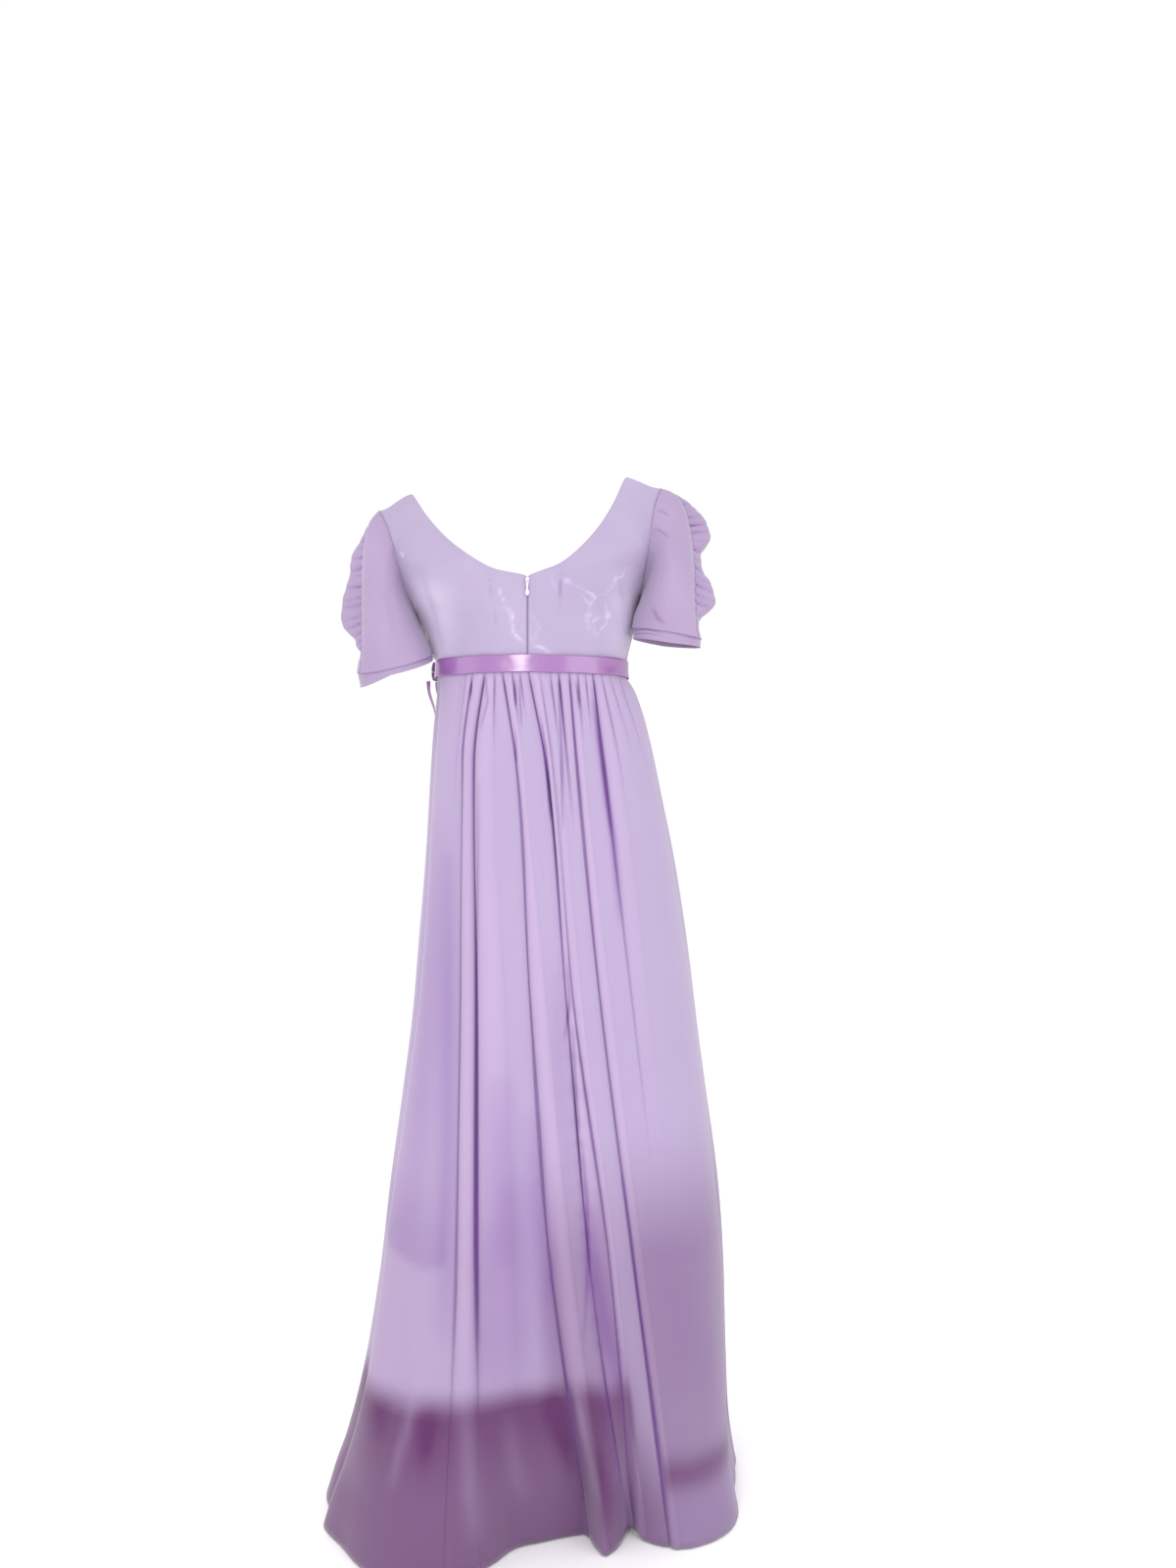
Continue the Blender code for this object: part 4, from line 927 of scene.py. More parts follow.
def shader_of(name):
    made = bpy.data.materials.new(name)
    made.use_nodes = True
    return made, made.node_tree, made.node_tree.nodes["Principled BSDF"]


def wear(tree, shader, values):
    """Sets or links the sockets of the main shader."""
    for socket, value in values.items():
        if isinstance(value, bpy.types.NodeSocket):
            tree.links.new(value, shader.inputs[socket])
        else:
            shader.inputs[socket].default_value = value


def opaque(color, light=1.0):
    """Colour for a socket, made lighter or darker, with full cover."""
    return (*(min(1.0, v * light) for v in color), 1.0)


def fabric(name, flat, ridge=None, hollow=None, hem_shade=None, cool_tone_and_highlight=None, shade=None, roughness=0.7, sheen=0.3,
           thread=0.0006, weave=0.05, crinkle=0.00010, crinkle_scale=140.0, tone=0.03, alpha=1.0,
           stitch=0.0):
    """Woven cloth: threads along the cut, fine crinkles, tone changes, and the painted shade and highlights of
    its fold masks.
    """
    made, tree, shader = shader_of(name)
    cut = add(tree, "UVMap", uv_map="cut").outputs["UV"]
    color = opaque(flat)
    # colours laid over the cloth by masks: mostly painted shade and painted highlights
    dyes = {"ridge": ridge, "shade": shade, "hem_shade": hem_shade, "cool_tone_and_highlight": cool_tone_and_highlight, "hollow": hollow}
    for place_name, overlay_color in dyes.items():
        if overlay_color:
            color = blended(tree, mask(tree, place_name), color, opaque(overlay_color))
    slub = add(tree, "Mapping", {"Vector": cut, "Scale": (900.0, 60.0, 1.0)}).outputs[0]
    level = calc(tree, "ADD", calc(tree, "MULTIPLY", noise(tree, 7.0), 2 * tone),
                 calc(tree, "MULTIPLY", noise(tree, 1.0, 1.0, slub), tone))
    value = calc(tree, "ADD", level, 1 - 1.5 * tone)
    shown = add(tree, "HueSaturation", {"Color": color, "Value": value}).outputs[0]
    warp = wave(tree, cut, WAVE / thread, "X")
    weft = wave(tree, cut, WAVE / thread * 0.9, "Y")
    threads = calc(tree, "MULTIPLY", warp, weft)
    normal = bump(tree, threads, weave, thread * 0.4)
    normal = bump(tree, noise(tree, crinkle_scale, 3.0, Roughness=0.55), 1.0, crinkle, normal)
    if stitch:
        dash = calc(tree, "GREATER_THAN", wave(tree, cut, WAVE / stitch, "X"), 0.35)
        sunk = calc(tree, "MULTIPLY", dash, mask(tree, "stitch"))
        normal = bump(tree, sunk, 0.6, 0.0003, normal, invert=True)
    wear(tree, shader, {"Base Color": shown, "Normal": normal, "Roughness": roughness, "Alpha": alpha,
                        "Sheen Weight": sheen, "Sheen Roughness": 0.45, "Specular IOR Level": 0.35})
    return made


def satin(name, color):
    """Ribbon satin: glossy floats along the ribbon over a fine ribbed ground, with painted shade at its edges
    and creases.
    """
    made, tree, shader = shader_of(name)
    cut = add(tree, "UVMap", uv_map="cut").outputs["UV"]
    long = add(tree, "Mapping", {"Vector": cut, "Scale": (40.0, 2600.0, 1.0)}).outputs[0]
    # random tone along the ribbon's threads
    shade = blended(tree, noise(tree, 1.0, 2.0, long), opaque(color, 0.90), opaque(color, 1.18))
    # painted shade: a darker copy of the ribbon colour at edges and knot creases
    edge = blended(tree, mask(tree, "hollow"), shade, opaque(color, 0.55))
    cloud = noise(tree, 34.0)
    dull = calc(tree, "ADD", calc(tree, "MULTIPLY", cloud, 0.10), 0.19)
    ribs = bump(tree, wave(tree, cut, WAVE / 0.0005, "Y"), 0.05, 0.0002)
    normal = bump(tree, cloud, 1.0, 0.0007, ribs)
    wear(tree, shader, {"Base Color": edge, "Normal": normal, "Roughness": dull, "Specular IOR Level": 1.0,
                        "IOR": 1.6})
    return made


def enamel(name, color):
    """Painted zip metal, with a little wear and unevenness."""
    made, tree, shader = shader_of(name)
    speck = noise(tree, 900.0, 3.0)
    tone = calc(tree, "MULTIPLY", calc(tree, "SUBTRACT", noise(tree, 260.0, 1.0), 0.55, True), 1.2)
    dull = calc(tree, "ADD", calc(tree, "MULTIPLY", speck, 0.15), 0.22)
    coat = blended(tree, tone, opaque(color), opaque(color, 0.8))
    normal = bump(tree, speck, 0.4, 0.00004)
    wear(tree, shader, {"Base Color": coat, "Normal": normal, "Roughness": dull, "Coat Weight": 0.4})
    return made


def clouded(name, first, second, scale, roughness):
    """Plain stuff whose tone drifts between two colours."""
    made, tree, shader = shader_of(name)
    tone = blended(tree, noise(tree, scale), first, second)
    wear(tree, shader, {"Base Color": tone, "Roughness": roughness})
    return made


def chiffon(name, context):
    dyes = context.scene.gown_dyes
    alpha = 1 - context.scene.gown_cloth.sheerness
    # ridge, hollow, plum and shade colours paint highlight and shade over the chiffon by their masks
    return fabric(name, dyes.flat, dyes.ridge, dyes.hollow, dyes.plum, dyes.slate, dyes.shade,
                  roughness=0.72, sheen=0.35, crinkle=0.00012, crinkle_scale=90.0, alpha=alpha)


# ------------------------------------------------------------------------------------- skirt
def skirt_plan(first, last):
    """Columns of a panel: the mark before each and the share to the next, closest at hollows."""
    turns = fold_marks([HEM_Z], 0.4)[0]
    gaps = np.linalg.norm(np.diff(ring(section(HEM_Z), turns), axis=1), axis=-1)[0]
    marks = []
    shares = []
    for lap_mark in range(first, last):
        mark = lap_mark % MARKS
        parts = int(np.clip(np.ceil(gaps[mark] / COLUMN), 8, 15))
        q = np.arange(parts) / parts
        marks.extend([lap_mark] * parts)
        shares.extend(q ** 1.6 if mark % 2 == 0 else 1 - (1 - q) ** 1.6)
    marks.append(last)
    shares.append(0.0)
    return np.array(marks), np.array(shares)


def gather_list(first_turn, last_turn, count, seed, foot, depth):
    """Uneven small gathers: turn at the waist, drift, foot height, width and depth."""
    rng = np.random.default_rng(seed)
    step = (last_turn - first_turn) / count
    for k in range(count):
        yield (first_turn + step * (k + rng.uniform(0.1, 0.9)), rng.uniform(-1.5, 1.5),
               mix(foot[0], foot[1], rng.uniform() ** 2.2), rng.uniform(0.55, 1.25),
               mix(depth[0], depth[1], rng.uniform()))


def small_gathers(turn, tall):
    """How far the small gathers sink the cloth under the ribbon, and the painted shade of their dark lines."""
    sink = 0.0
    lines = 0.0
    for first, last, count, seed, foot, depth, mark in SMALL_GATHERS:
        for at, drift, foot_z, width, deep in gather_list(first, last, count, seed, foot, depth):
            share = (EMPIRE_Z - tall) / (EMPIRE_Z - foot_z)
            away = (turn - at - drift * share + 180) % 360 - 180
            fade = ease((EMPIRE_Z - 0.006 - tall) / 0.03) * ease(1 - share)
            sink = sink - deep * bell(away, width * (1 + 0.5 * share)) * fade
            lines = lines + mark * deep / 0.0018 * bell(away, 0.33 * width) * fade
    return sink, lines


def seam_pucker(points, tall, back):
    """Beat of the puckers along the centre-back seam, and how near the seam each point is."""
    aside = np.abs(points[..., 0] - across_at(GATHERS[SEAM_GATHER][0], tall))
    beat = np.sin(2 * pi * (tall + 0.4 * aside) / 0.034 + 1.7 * np.sin(tall * 19) + 0.9 * np.sin(tall * 47))
    low = ease((-0.60 - tall) / 0.25) * ease((tall + 1.44) / 0.06)
    return beat, np.exp(-aside / 0.010) * ease(aside / 0.0025) * low * back


def bounded(points, face, tall, back, sizes):
    """Lays a panel's edges: its last edge laps over the next panel, its first turns in."""
    points[:, 0] = toward(points[:, 0], points[:, 1], SEAM / 2)
    over = np.clip(1 - edge_gap(points, "last") / LAP_WIDTH, 0, 1) ** 1.5
    over = over * ease((EMPIRE_Z - 0.004 - tall) / 0.02)
    points = moved(points, face, LAP * over)
    points[:, -1] = toward(points[:, -1], points[:, -2], -LAP * over[:, -1:])
    notch = 1 - np.minimum(1.0, np.abs(points[-1, :, 0] - NOTCH_X) / 0.02)
    points[-1, :, 2] += 0.014 * ease(notch) * back[-1]
    return moved(points, face, -sizes.edge_roll * 0.6 * turned_in(edge_gap(points, "first"), 0.002))


def painted_light_masks(points, tall, back, masks, lines):
    """Tones of a skirt panel, mostly painted light: the plum painted shade below the lining, the cooler corner,
    soft painted shades with the lining's hem, painted highlight on ridges and painted shade in hollows.
    """
    x = points[..., 0]
    rear = ease((points[..., 1] + 0.01) / 0.07)
    left = ease((x + 0.02) / 0.03) * back
    right = np.where(back, ease((across_at(GATHERS[RIGHT_TONE][0], tall) + 0.002 - x) / 0.008),
                     ease((-0.205 - x) / 0.075))
    strip = ease((spline(*zip(*STRIP_EDGE), -tall) - x) / 0.012) * back
    slow = ease((-0.90 - tall) / 0.22)
    band = 0.36 * bell(tall - RIGHT_BAND_Z, 0.024)
    middle = 0.12 + 0.30 * ease((-0.03 - x) / 0.04) * rear
    # painted shade below the lining: deeper towards the hem, paler and deeper in streaks, lighter on the strip
    # of hanging folds
    streak = painted(points, STREAKS) * mix(0.45, 1.0, rear)
    deep = 0.94 - 0.13 * ease((-1.28 - tall) / 0.12) + streak - middle
    plum = middle * slow + deep * ease((HEM_SHADE_Z - tall - 0.06 * x) / 0.044)
    folded = 0.30 * ease((-0.88 - tall) / 0.24) + 0.34 * ease((-1.31 - tall) / 0.14)
    hem_shade = mix(mix(plum, folded, strip), 0.50 * slow + band * right, right)
    show_x, show_z = np.array(HEM_SHOWS[::-1]).T / 1000
    above = tall - np.interp(x, show_x, show_z)
    shown = mix(0.13, 0.34 * ease((x - 0.078) / 0.02) + 0.09 * ease((-0.16 - x) / 0.03), rear)
    lining_tone = shown * ease(above / 0.014 + 0.5) * ease(1 - above / 0.14)
    calm = 1 - 0.8 * ease((LINING_HEM_Z - tall) / 0.08) * left
    # raised folds keep less of the painted hem shade: a painted highlight
    return {"hem_shade": np.clip(hem_shade * (1 - 0.20 * np.clip(masks["ridge"] - 0.5, 0, 1)), 0, 1),
            "shade": np.clip(painted(points, SHADES) * rear + lining_tone, 0, 1),
            "cool_tone_and_highlight": 0.75 * bell(tall - COOL_Z, 0.032) * ease((-0.20 - x) / 0.03) * back,
            "ridge": np.clip(masks["ridge"], 0, 1),
            "hollow": np.clip((masks["hollow"] + lines) * calm, 0, 1)}


def skirt_panel(context, node, first, last):
    sizes = context.scene.gown_cloth
    top_z = EMPIRE_Z - 0.0004
    z = top_z + (HEM_Z - top_z) * spread_out(SKIRT_ROWS) ** 1.3
    folds = fold_marks(z, sizes.steepest)
    marks, shares = skirt_plan(first, last)
    marks = np.broadcast_to(marks % MARKS, (len(z), len(marks)))
    start = np.take_along_axis(folds[0], marks, 1)
    turn = mix(start, np.take_along_axis(folds[0], marks + 1, 1), shares)
    tall = z[:, None]
    sink, lines = small_gathers(turn, tall)
    points, masks = shaped(turn, tall, marks, np.broadcast_to(shares, marks.shape), folds, sink)
    back = points[..., 1] > 0
    away = out_of(points)
    face = normals(points, away)
    beat, pucker = seam_pucker(points, tall, back)
    slit = np.where(back, painted(points, SLITS), painted(points, FRONT_SLITS))
    drape = np.where(back, painted(points, DRAPE_LINES), 0.0)
    push = (drape - slit) / 1000 + sizes.pucker * beat * pucker
    # painted shade in the pucker troughs and along the slits
    masks["hollow"] = masks["hollow"] + np.clip(-beat, 0, 1) * pucker * 0.14 + 0.55 * slit
    push = push + ripple(points, 3, 0.16, 0.0010) * ease((EMPIRE_Z - 0.02 - tall) / 0.2)
    push = push + sizes.hem_roll * bell(edge_gap(points, "top") - 0.0016, 0.0014)
    points = bounded(moved(points, face, push), face, tall, back, sizes)
    masks = painted_light_masks(points, tall, back, masks, lines)
    look = chiffon(node + "_chiffon_sheer", context)
    piece = cloth(node + "_drape", [(points, masks, away)], sizes.chiffon, look)
    sewn(piece, node)


class GOWN_OT_skirt(Operator):
    """Gather the three outer skirt panels into the high waist seam"""
    bl_idname = "gown.skirt"
    bl_label = "Gathered skirt"

    def execute(self, context):
        skirt_panel(context, "skirt_front", RIGHT_SEAM, LEFT_SEAM)
        skirt_panel(context, "skirt_back_left", LEFT_SEAM, MARKS + BACK_SEAM)
        skirt_panel(context, "skirt_back_right", BACK_SEAM, RIGHT_SEAM)
        return {"FINISHED"}


class GOWN_OT_lining(Operator):
    """Hang the shorter, narrower lining inside the skirt"""
    bl_idname = "gown.lining"
    bl_label = "Skirt lining"

    def execute(self, context):
        sizes = context.scene.gown_cloth
        columns, rows = LINING_GRID
        z = mix(EMPIRE_Z - 0.0006, LINING_HEM_Z, spread_out(rows) ** 1.2)
        turn, tall = grid(circle(columns), z)
        size = section(tall)
        inset = LINING_TUCK + LINING_FALL * ease((EMPIRE_Z - tall) / 0.08)
        sway = 0.0016 * np.sin(np.radians(turn * 9 + 20)) + 0.0012 * np.sin(np.radians(turn * 16 + 80))
        inset = inset - sway * ease((EMPIRE_Z - 0.05 - tall) / 0.3)
        spot = moved(ring(size, turn), ring_out(size, turn), -inset)
        points = np.concatenate((spot, tall[..., None]), axis=-1)
        foot = edge_gap(points, "top")
        away = out_of(points)
        points = moved(points, unit(away), LINING_HEM_STEP * ease((LINING_HEM - foot) / 0.001))
        masks = {"stitch": bell(foot - LINING_HEM + 0.0005, 0.0007)}
        look = fabric("lining_cloth_fine", context.scene.gown_dyes.lining, roughness=0.5, sheen=0.1,
                      thread=0.0005, weave=0.06, crinkle=0.00008, crinkle_scale=60.0, tone=0.04,
                      stitch=0.003)
        piece = cloth("skirt_lining_hung", [(points, masks, away)], sizes.lining, look, closed=True)
        sewn(piece, "skirt_lining")
        return {"FINISHED"}


# ------------------------------------------------------------------------------------ bodice
def bodice_grid(ribs, sign, ups, gap):
    across, up = grid(np.sin(np.linspace(0, pi / 2, BODICE_COLUMNS)) ** 1.15, ups)
    points = upright(ribs, across, up)
    points[..., 0] *= sign
    points = lean(points)
    inside = ease(edge_gap(points, "first") / 0.022) * ease(edge_gap(points, "last") / 0.016)
    points = mix(points, evened(points, 5), inside[..., None])
    points[:, 0, 0] += sign * gap * (ups <= NECK_RIB)
    points[:, -1] = toward(points[:, -1], points[:, -2], SEAM / 2)
    points[-1] = toward(points[-1], points[-2], SEAM / 2)
    return points


def crinkled(points, face, creases):
    """Presses the creases of wear into a bodice grid, and says where they are: painted shade along its sunk
    creases, painted highlight along its narrow raised ones.
    """
    push = 0.0
    trace = 0.0
    glint = 0.0
    bent = points + ripple(points, 7, 0.017, 0.0022)[..., None]
    for path, width, height in creases:
        weight = stroke(points if height < 0 else bent, path, width)
        push = push + weight * height / 1000
        if height < 0:
            trace = trace + weight * min(0.8, 1.1 / width)
        elif width < 3:
            glint = glint + weight * height / 0.26
    return moved(points, face, push), trace, glint


def bodice_piece(points, creases, edges, seed, sizes):
    """Creases, edges and tones of one half of the bodice, with painted shade in creases and along edges and
    seams, and painted highlights.
    """
    away = out_of(points)
    face = normals(points, away)
    points, trace, glint = crinkled(points, face, creases)
    glint = glint * np.clip(0.70 + ripple(points, seed + 9, 0.020, 0.35), 0.2, 1)
    edge = nearest_edge(points, edges)
    seam = edge_gap(points, "last")
    sink = sizes.edge_roll * turned_in(edge, 0.0028) * mix(0.35, 1.0, ease(seam / 0.006))
    unevenness = ripple(points, seed, 0.055, 0.00055) + ripple(points, seed + 1, 0.022, 0.00016)
    points = moved(points, face, unevenness * ease(edge / 0.01) - sink)
    # painted shade along the edges and seams
    line = bell(edge, 0.0011) * mix(0.10, 0.30, ease(seam / 0.006))
    # painted fill light: the back's sides made lighter where shade falls near the arms
    side = ease((np.abs(points[..., 0] - WAIST_X) - 0.094) / 0.050) * ease((-0.13 - points[..., 2]) / 0.06)
    side = side * ease((points[..., 1] + 0.03) / 0.04)
    # hollow: painted shade; cool_tone_and_highlight: painted highlights of the crinkles and painted fill light
    # at the sides; ridge: random tone
    masks = {"hollow": np.clip(0.55 * trace + line, 0, 1),
             "cool_tone_and_highlight": np.clip(0.34 * glint + 0.28 * side, 0, 1),
             "ridge": np.clip(0.5 + ripple(points, seed + 5, 0.09, 0.35), 0, 1)}
    return points, masks, away


def crepe(name, context):
    dyes = context.scene.gown_dyes
    light = opaque(dyes.crepe, 1.05)[:3]
    # the glint colour goes in as the painted highlight of the crinkles
    return fabric(name, dyes.crepe, light, dyes.hollow, cool_tone_and_highlight=dyes.glint, roughness=0.50, crinkle=0.00080,
                  crinkle_scale=48.0, tone=0.04)


class GOWN_OT_bodice(Operator):
    """Sew the two back halves and the whole front of the bodice"""
    bl_idname = "gown.bodice"
    bl_label = "Crepe bodice"

    def execute(self, context):
        sizes = context.scene.gown_cloth
        ups = np.unique(np.concatenate((np.linspace(0, TOP_RIB, 121), np.linspace(8.2, TOP_RIB, 22))))
        for side, sign, seed in (("left", 1, 11), ("right", -1, 17)):
            node = "bodice_back_" + side
            points = bodice_grid(BACK_RIBS, sign, ups, ZIP_GAP / 2)
            sheet = bodice_piece(points, CRINKLES + DARTS, ("first", "last", "top"), seed, sizes)
            piece = cloth(node + "_sewn", [sheet], sizes.crepe, crepe(node + "_crepe_satin", context))
            sewn(piece, node)
        sheets = []
        for sign, seed in ((1, 23), (-1, 29)):
            points = bodice_grid(FRONT_RIBS, sign, ups, 0.0)
            seam = points[:, 0].copy()
            points, masks, away = bodice_piece(points, FRONT_CREASES, ("last", "top"), seed, sizes)
            hold = (1 - ease(edge_gap(points, "first") / 0.02)) * (ups <= NECK_RIB)[:, None]
            points = points + (seam[:, None] - points[:, :1]) * hold[..., None]
            sheets.append((points, masks, away))
        piece = cloth("bodice_front_sewn", sheets, sizes.crepe, crepe("bodice_front_crepe_satin", context),
                      weld=0.00005)
        sewn(piece, "bodice_front")
        return {"FINISHED"}


# ----------------------------------------------------------------------------------- sleeves
def on_arm(sleeve, points):
    """Sets upright sleeve points on their side with the full lean; also says which way is out."""
    points[..., 0] *= sleeve["sign"]
    points = lean(points, True)
    arm = lean(np.array((sleeve["sign"] * ARM_X, SLEEVE_Y, -0.2)), True)
    return points, out_of(points, arm)


def back_tucks(sleeve, points, down, off):
    """Creases of the smooth back half, and the ends of the tucks beside the outer seam, with painted shade
    along them.
    """
    push = 0.0
    trace = 0.0
    for path, width, height in SLEEVE_CREASES[sleeve["side"]]:
        weight = stroke(points, path, width)
        push = push + weight * height / 1000
        if height < 0 and width < 4:
            trace = trace + weight * 0.6
    for centre, slant, width, depth in TUCKS[sleeve["side"]]:
        weight = bell(down - centre + 0.3 * slant * off, width * 0.8) * np.exp(-off / 0.030)
        push = push - weight * depth * 0.45
        trace = trace + 0.5 * weight ** 2 * np.exp(-off / 0.03) * depth / DEEP_TUCK
    return push, trace


def front_tucks(sleeve, down, off):
    """Tucks that fan out from the outer seam with painted shade along them, and the broad folds of the front
    half.
    """
    push = 0.0
    trace = 0.0
    near = ease(off / 0.018)
    for centre, slant, width, depth in TUCKS[sleeve["side"]]:
        middle = centre + 0.42 * slant * off
        spread = width * (1 + 3.5 * off)
        deep = depth * 1.6 * np.exp(-off / 0.070) * (0.35 + 0.65 * near)
        push = push - bell(down - middle, spread) * deep
        dark = 1.35 * np.exp(-off / 0.060) * depth / DEEP_TUCK
        trace = trace + bell(down - middle, 0.42 * spread) * dark
    inside = ease((0.97 - down) / 0.12) * ease(down / 0.12)
    push = push + 0.0006 * np.sin(pi * np.clip(off / 0.34, 0, 1)) * inside
    wide_fold = np.sin(2 * pi * (down * 4.2 + 0.8 * off + 0.15 * np.sin(9 * off)))
    inside = ease((off - 0.2) / 0.25) * ease((0.98 - off) / 0.2) * ease((1 - down) / 0.1)
    return push + 0.0018 * wide_fold * inside, trace


def sleeve_half(context, sleeve, part, ribs):
    sizes = context.scene.gown_cloth
    back = part == "back"
    around, down = grid(*map(spread_out, SLEEVE_GRID))
    points, away = on_arm(sleeve, sleeve_point(sleeve, ribs, around, down))
    face = normals(points, away)
    off = 1 - around
    push, trace = back_tucks(sleeve, points, down, off) if back else front_tucks(sleeve, down, off)
    head = bell(down, 0.10)
    small = np.sin(2 * pi * (around * 13 + 0.4 * np.sin(around * 17)))
    push = push + 0.0005 * small * head * ease(down / 0.02) * ease((around - 0.3) / 0.2)
    push = push + ripple(points, 31 if back else 37, 0.07, 0.0007) * ease(off / 0.08) * ease(down / 0.08)
    overhang = ease((down - 0.94) / 0.06)
    push = push + OVERHANG * overhang
    points = moved(points, face, push)
    points[..., 2] -= OVERHANG_DROP * overhang
    under = SEAM / 2 + 0.0006 * (1 - down[:, 0]) ** 2
    points[:, 0] = toward(points[:, 0], points[:, 1], under[:, None])
    points[:, -1] = toward(points[:, -1], points[:, -2], SEAM * 1.1)
    points[0] = toward(points[0], points[1], SEAM * 1.2)
    edge = nearest_edge(points, ("last", "first"))
    head_gap = edge_gap(points, "bottom")
    points = moved(points, face, -0.8 * sizes.edge_roll * turned_in(edge, 0.0025))
    # painted shade along the seams, under the overhang at the foot and in the tucks; ridge is random tone plus
    # painted light, lighter where the cloth stands out and darker in tucks
    seam = 0.25 * bell(edge, 0.0011) + 0.08 * bell(head_gap, 0.0013)
    foot = edge_gap(points, "top")
    masks = {"hollow": np.clip(0.75 * trace + seam + 0.35 * bell(foot, 0.001), 0, 1),
             "ridge": np.clip(0.45 + ripple(points, 41, 0.10, 0.4) + 90 * push, 0, 1)}
    node = "sleeve_" + sleeve["side"] + "_" + part
    piece = cloth(node + "_sewn", [(points, masks, away)], sizes.sleeve, sleeve_cloth(node, context))
    sewn(piece, node)


def sleeve_cloth(node, context):
    dyes = context.scene.gown_dyes
    # lighter sleeve colour for the ridge mask, partly painted light on the relief
    light = opaque(dyes.sleeve, 1.10)[:3]
    return fabric(node + "_crepe_soft", dyes.sleeve, light, dyes.hollow, roughness=0.66, sheen=0.35,
                  crinkle=0.00014, crinkle_scale=80.0)


class GOWN_OT_sleeves(Operator):
    """Set in both sleeves: a smooth back half and a front half gathered into the outer seam"""
    bl_idname = "gown.sleeves"
    bl_label = "Puffed sleeves"

    def execute(self, context):
        for values in SLEEVES:
            sleeve = dict(zip(SLEEVE, values))
            for part, ribs in (("back", BACK_RIBS), ("front", FRONT_RIBS)):
                sleeve_half(context, sleeve, part, ribs)
        return {"FINISHED"}


class GOWN_OT_cuffs(Operator):
    """Band both sleeves with a folded cuff"""
    bl_idname = "gown.cuffs"
    bl_label = "Sleeve bands"

    def execute(self, context):
        sizes = context.scene.gown_cloth
        for values in SLEEVES:
            sleeve = dict(zip(SLEEVE, values))
            angle, low = grid(circle(CUFF_GRID[0]), spread_out(CUFF_GRID[1]))
            points, away = on_arm(sleeve, cuff_point(sleeve, angle, low))
            inner = ease((np.cos(np.radians(angle - 165)) - 0.35) / 0.5)
            wander = 0.06 * np.sin(np.radians(angle * 2 + 40)) + 0.04 * np.sin(np.radians(angle * 5))
            groove = 0.0
            for at, deep in CUFF_GROOVES:
                strength = deep * (0.35 + (1.5 if sleeve["side"] == "right" else 0.4) * inner)
                groove = groove + strength * bell(low - at - wander, 0.055)
            lips = 0.0005 * (bell(low - 0.96, 0.05) + np.sin(pi * low) * 0.9)
            points = moved(points, unit(away), lips - 0.0010 * groove)
            # painted shade in the cuff's grooves
            masks = {"hollow": np.clip(0.5 * groove, 0, 1), "ridge": 0.4}
            node = "cuff_" + sleeve["side"]
            look = sleeve_cloth(node, context)
            piece = cloth(node + "_sewn", [(points, masks, away)], sizes.sleeve, look, closed=True)
            sewn(piece, node)
        return {"FINISHED"}


# ------------------------------------------------------------------------------------ ribbon
def knot_points():
    """A ribbon knot: one pinched turn of ribbon around the waist ribbon."""
    size = section(WAIST_Z)
    wide, deep, tall = KNOT_SIZE
    out = ring_out(size, KNOT_TURN)
    spot = ring(size, KNOT_TURN) + out * (RIBBON_LIFT + 0.0025 + deep / 2)
    centre = np.array((*spot, RIBBON_Z))
    out = np.array((*out, 0.0))
    along = np.array((-out[1], out[0], 0.0))
    side, turn = grid(np.linspace(-1, 1, KNOT_GRID[0]), np.radians(circle(KNOT_GRID[1])))
    pinch = np.sqrt(np.clip(1 - np.abs(side) ** 3.2, 0.02, 1))
    crease = 1 + 0.055 * np.cos(side * 13 + 1.1 * np.sin(turn)) + 0.03 * np.cos(side * 23 + 2 * turn)
    squash = 1 - 0.10 * bell(side, 0.5)
    height = tall / 2 * np.sin(turn) * (0.62 + 0.38 * pinch) * squash * crease
    depth = deep / 2 * np.cos(turn) * pinch * crease
    across = wide / 2 * side * (1 - 0.10 * np.cos(turn) ** 2)
    points = moved(moved(centre, along, across), out, depth)
    points[..., 2] += height
    away = points - centre
    # third value: painted shade in the knot's pinched creases
    return points.transpose(1, 0, 2), away.transpose(1, 0, 2), (1 - crease.T) * 6


def tail_points(turn, spread, foot_z, bulge, steepest):
    """A ribbon end from the knot down, lying on the gathers; also the mask of painted shade along its edges."""
    head_z = RIBBON_Z - KNOT_SIZE[2] / 2 - 0.0004
    share = spread_out(TAIL_GRID[1])[:, None]
    side = np.linspace(-1, 1, TAIL_GRID[0])[None, :]
    tall = mix(head_z, foot_z, share ** 1.15)
    size = section(tall)
    span = np.degrees(mix(TAIL_NECK, TAIL_WIDTH, ease(share * 3)) / 2 / middle_and_half(size)[1])
    place = turn + spread * ease(share * 2.2) + span * side
    lift = 0.0034 + (bulge + 0.0026) * ease((0.30 - share) / 0.24)
    curl = 0.0009 * np.cos(pi * side) + 0.0011 * side * np.sin(share * 9)
    pinch = 0.0014 * np.cos(side * 7) * ease((0.22 - share) / 0.2)
    twist = -0.0045 * side * ease((0.30 - share) / 0.12)
    plain = draped(size, place, tall, lift + curl + pinch + twist)
    gathered = skirt_surface(place, tall[:, 0], steepest)
    bare = draped(size, place, tall, 0 * place)
    settle = np.sum((gathered - bare) * unit(out_of(bare)), axis=-1).mean(axis=1)
    plain = plain + unit(out_of(plain)) * np.maximum(settle, 0)[:, None, None]
    plain[-2:, :, 2] += np.array(((0.005,), (0.010,))) * (side / 2)
    return plain, 0.4 * bell(np.abs(side) - 1, 0.06)


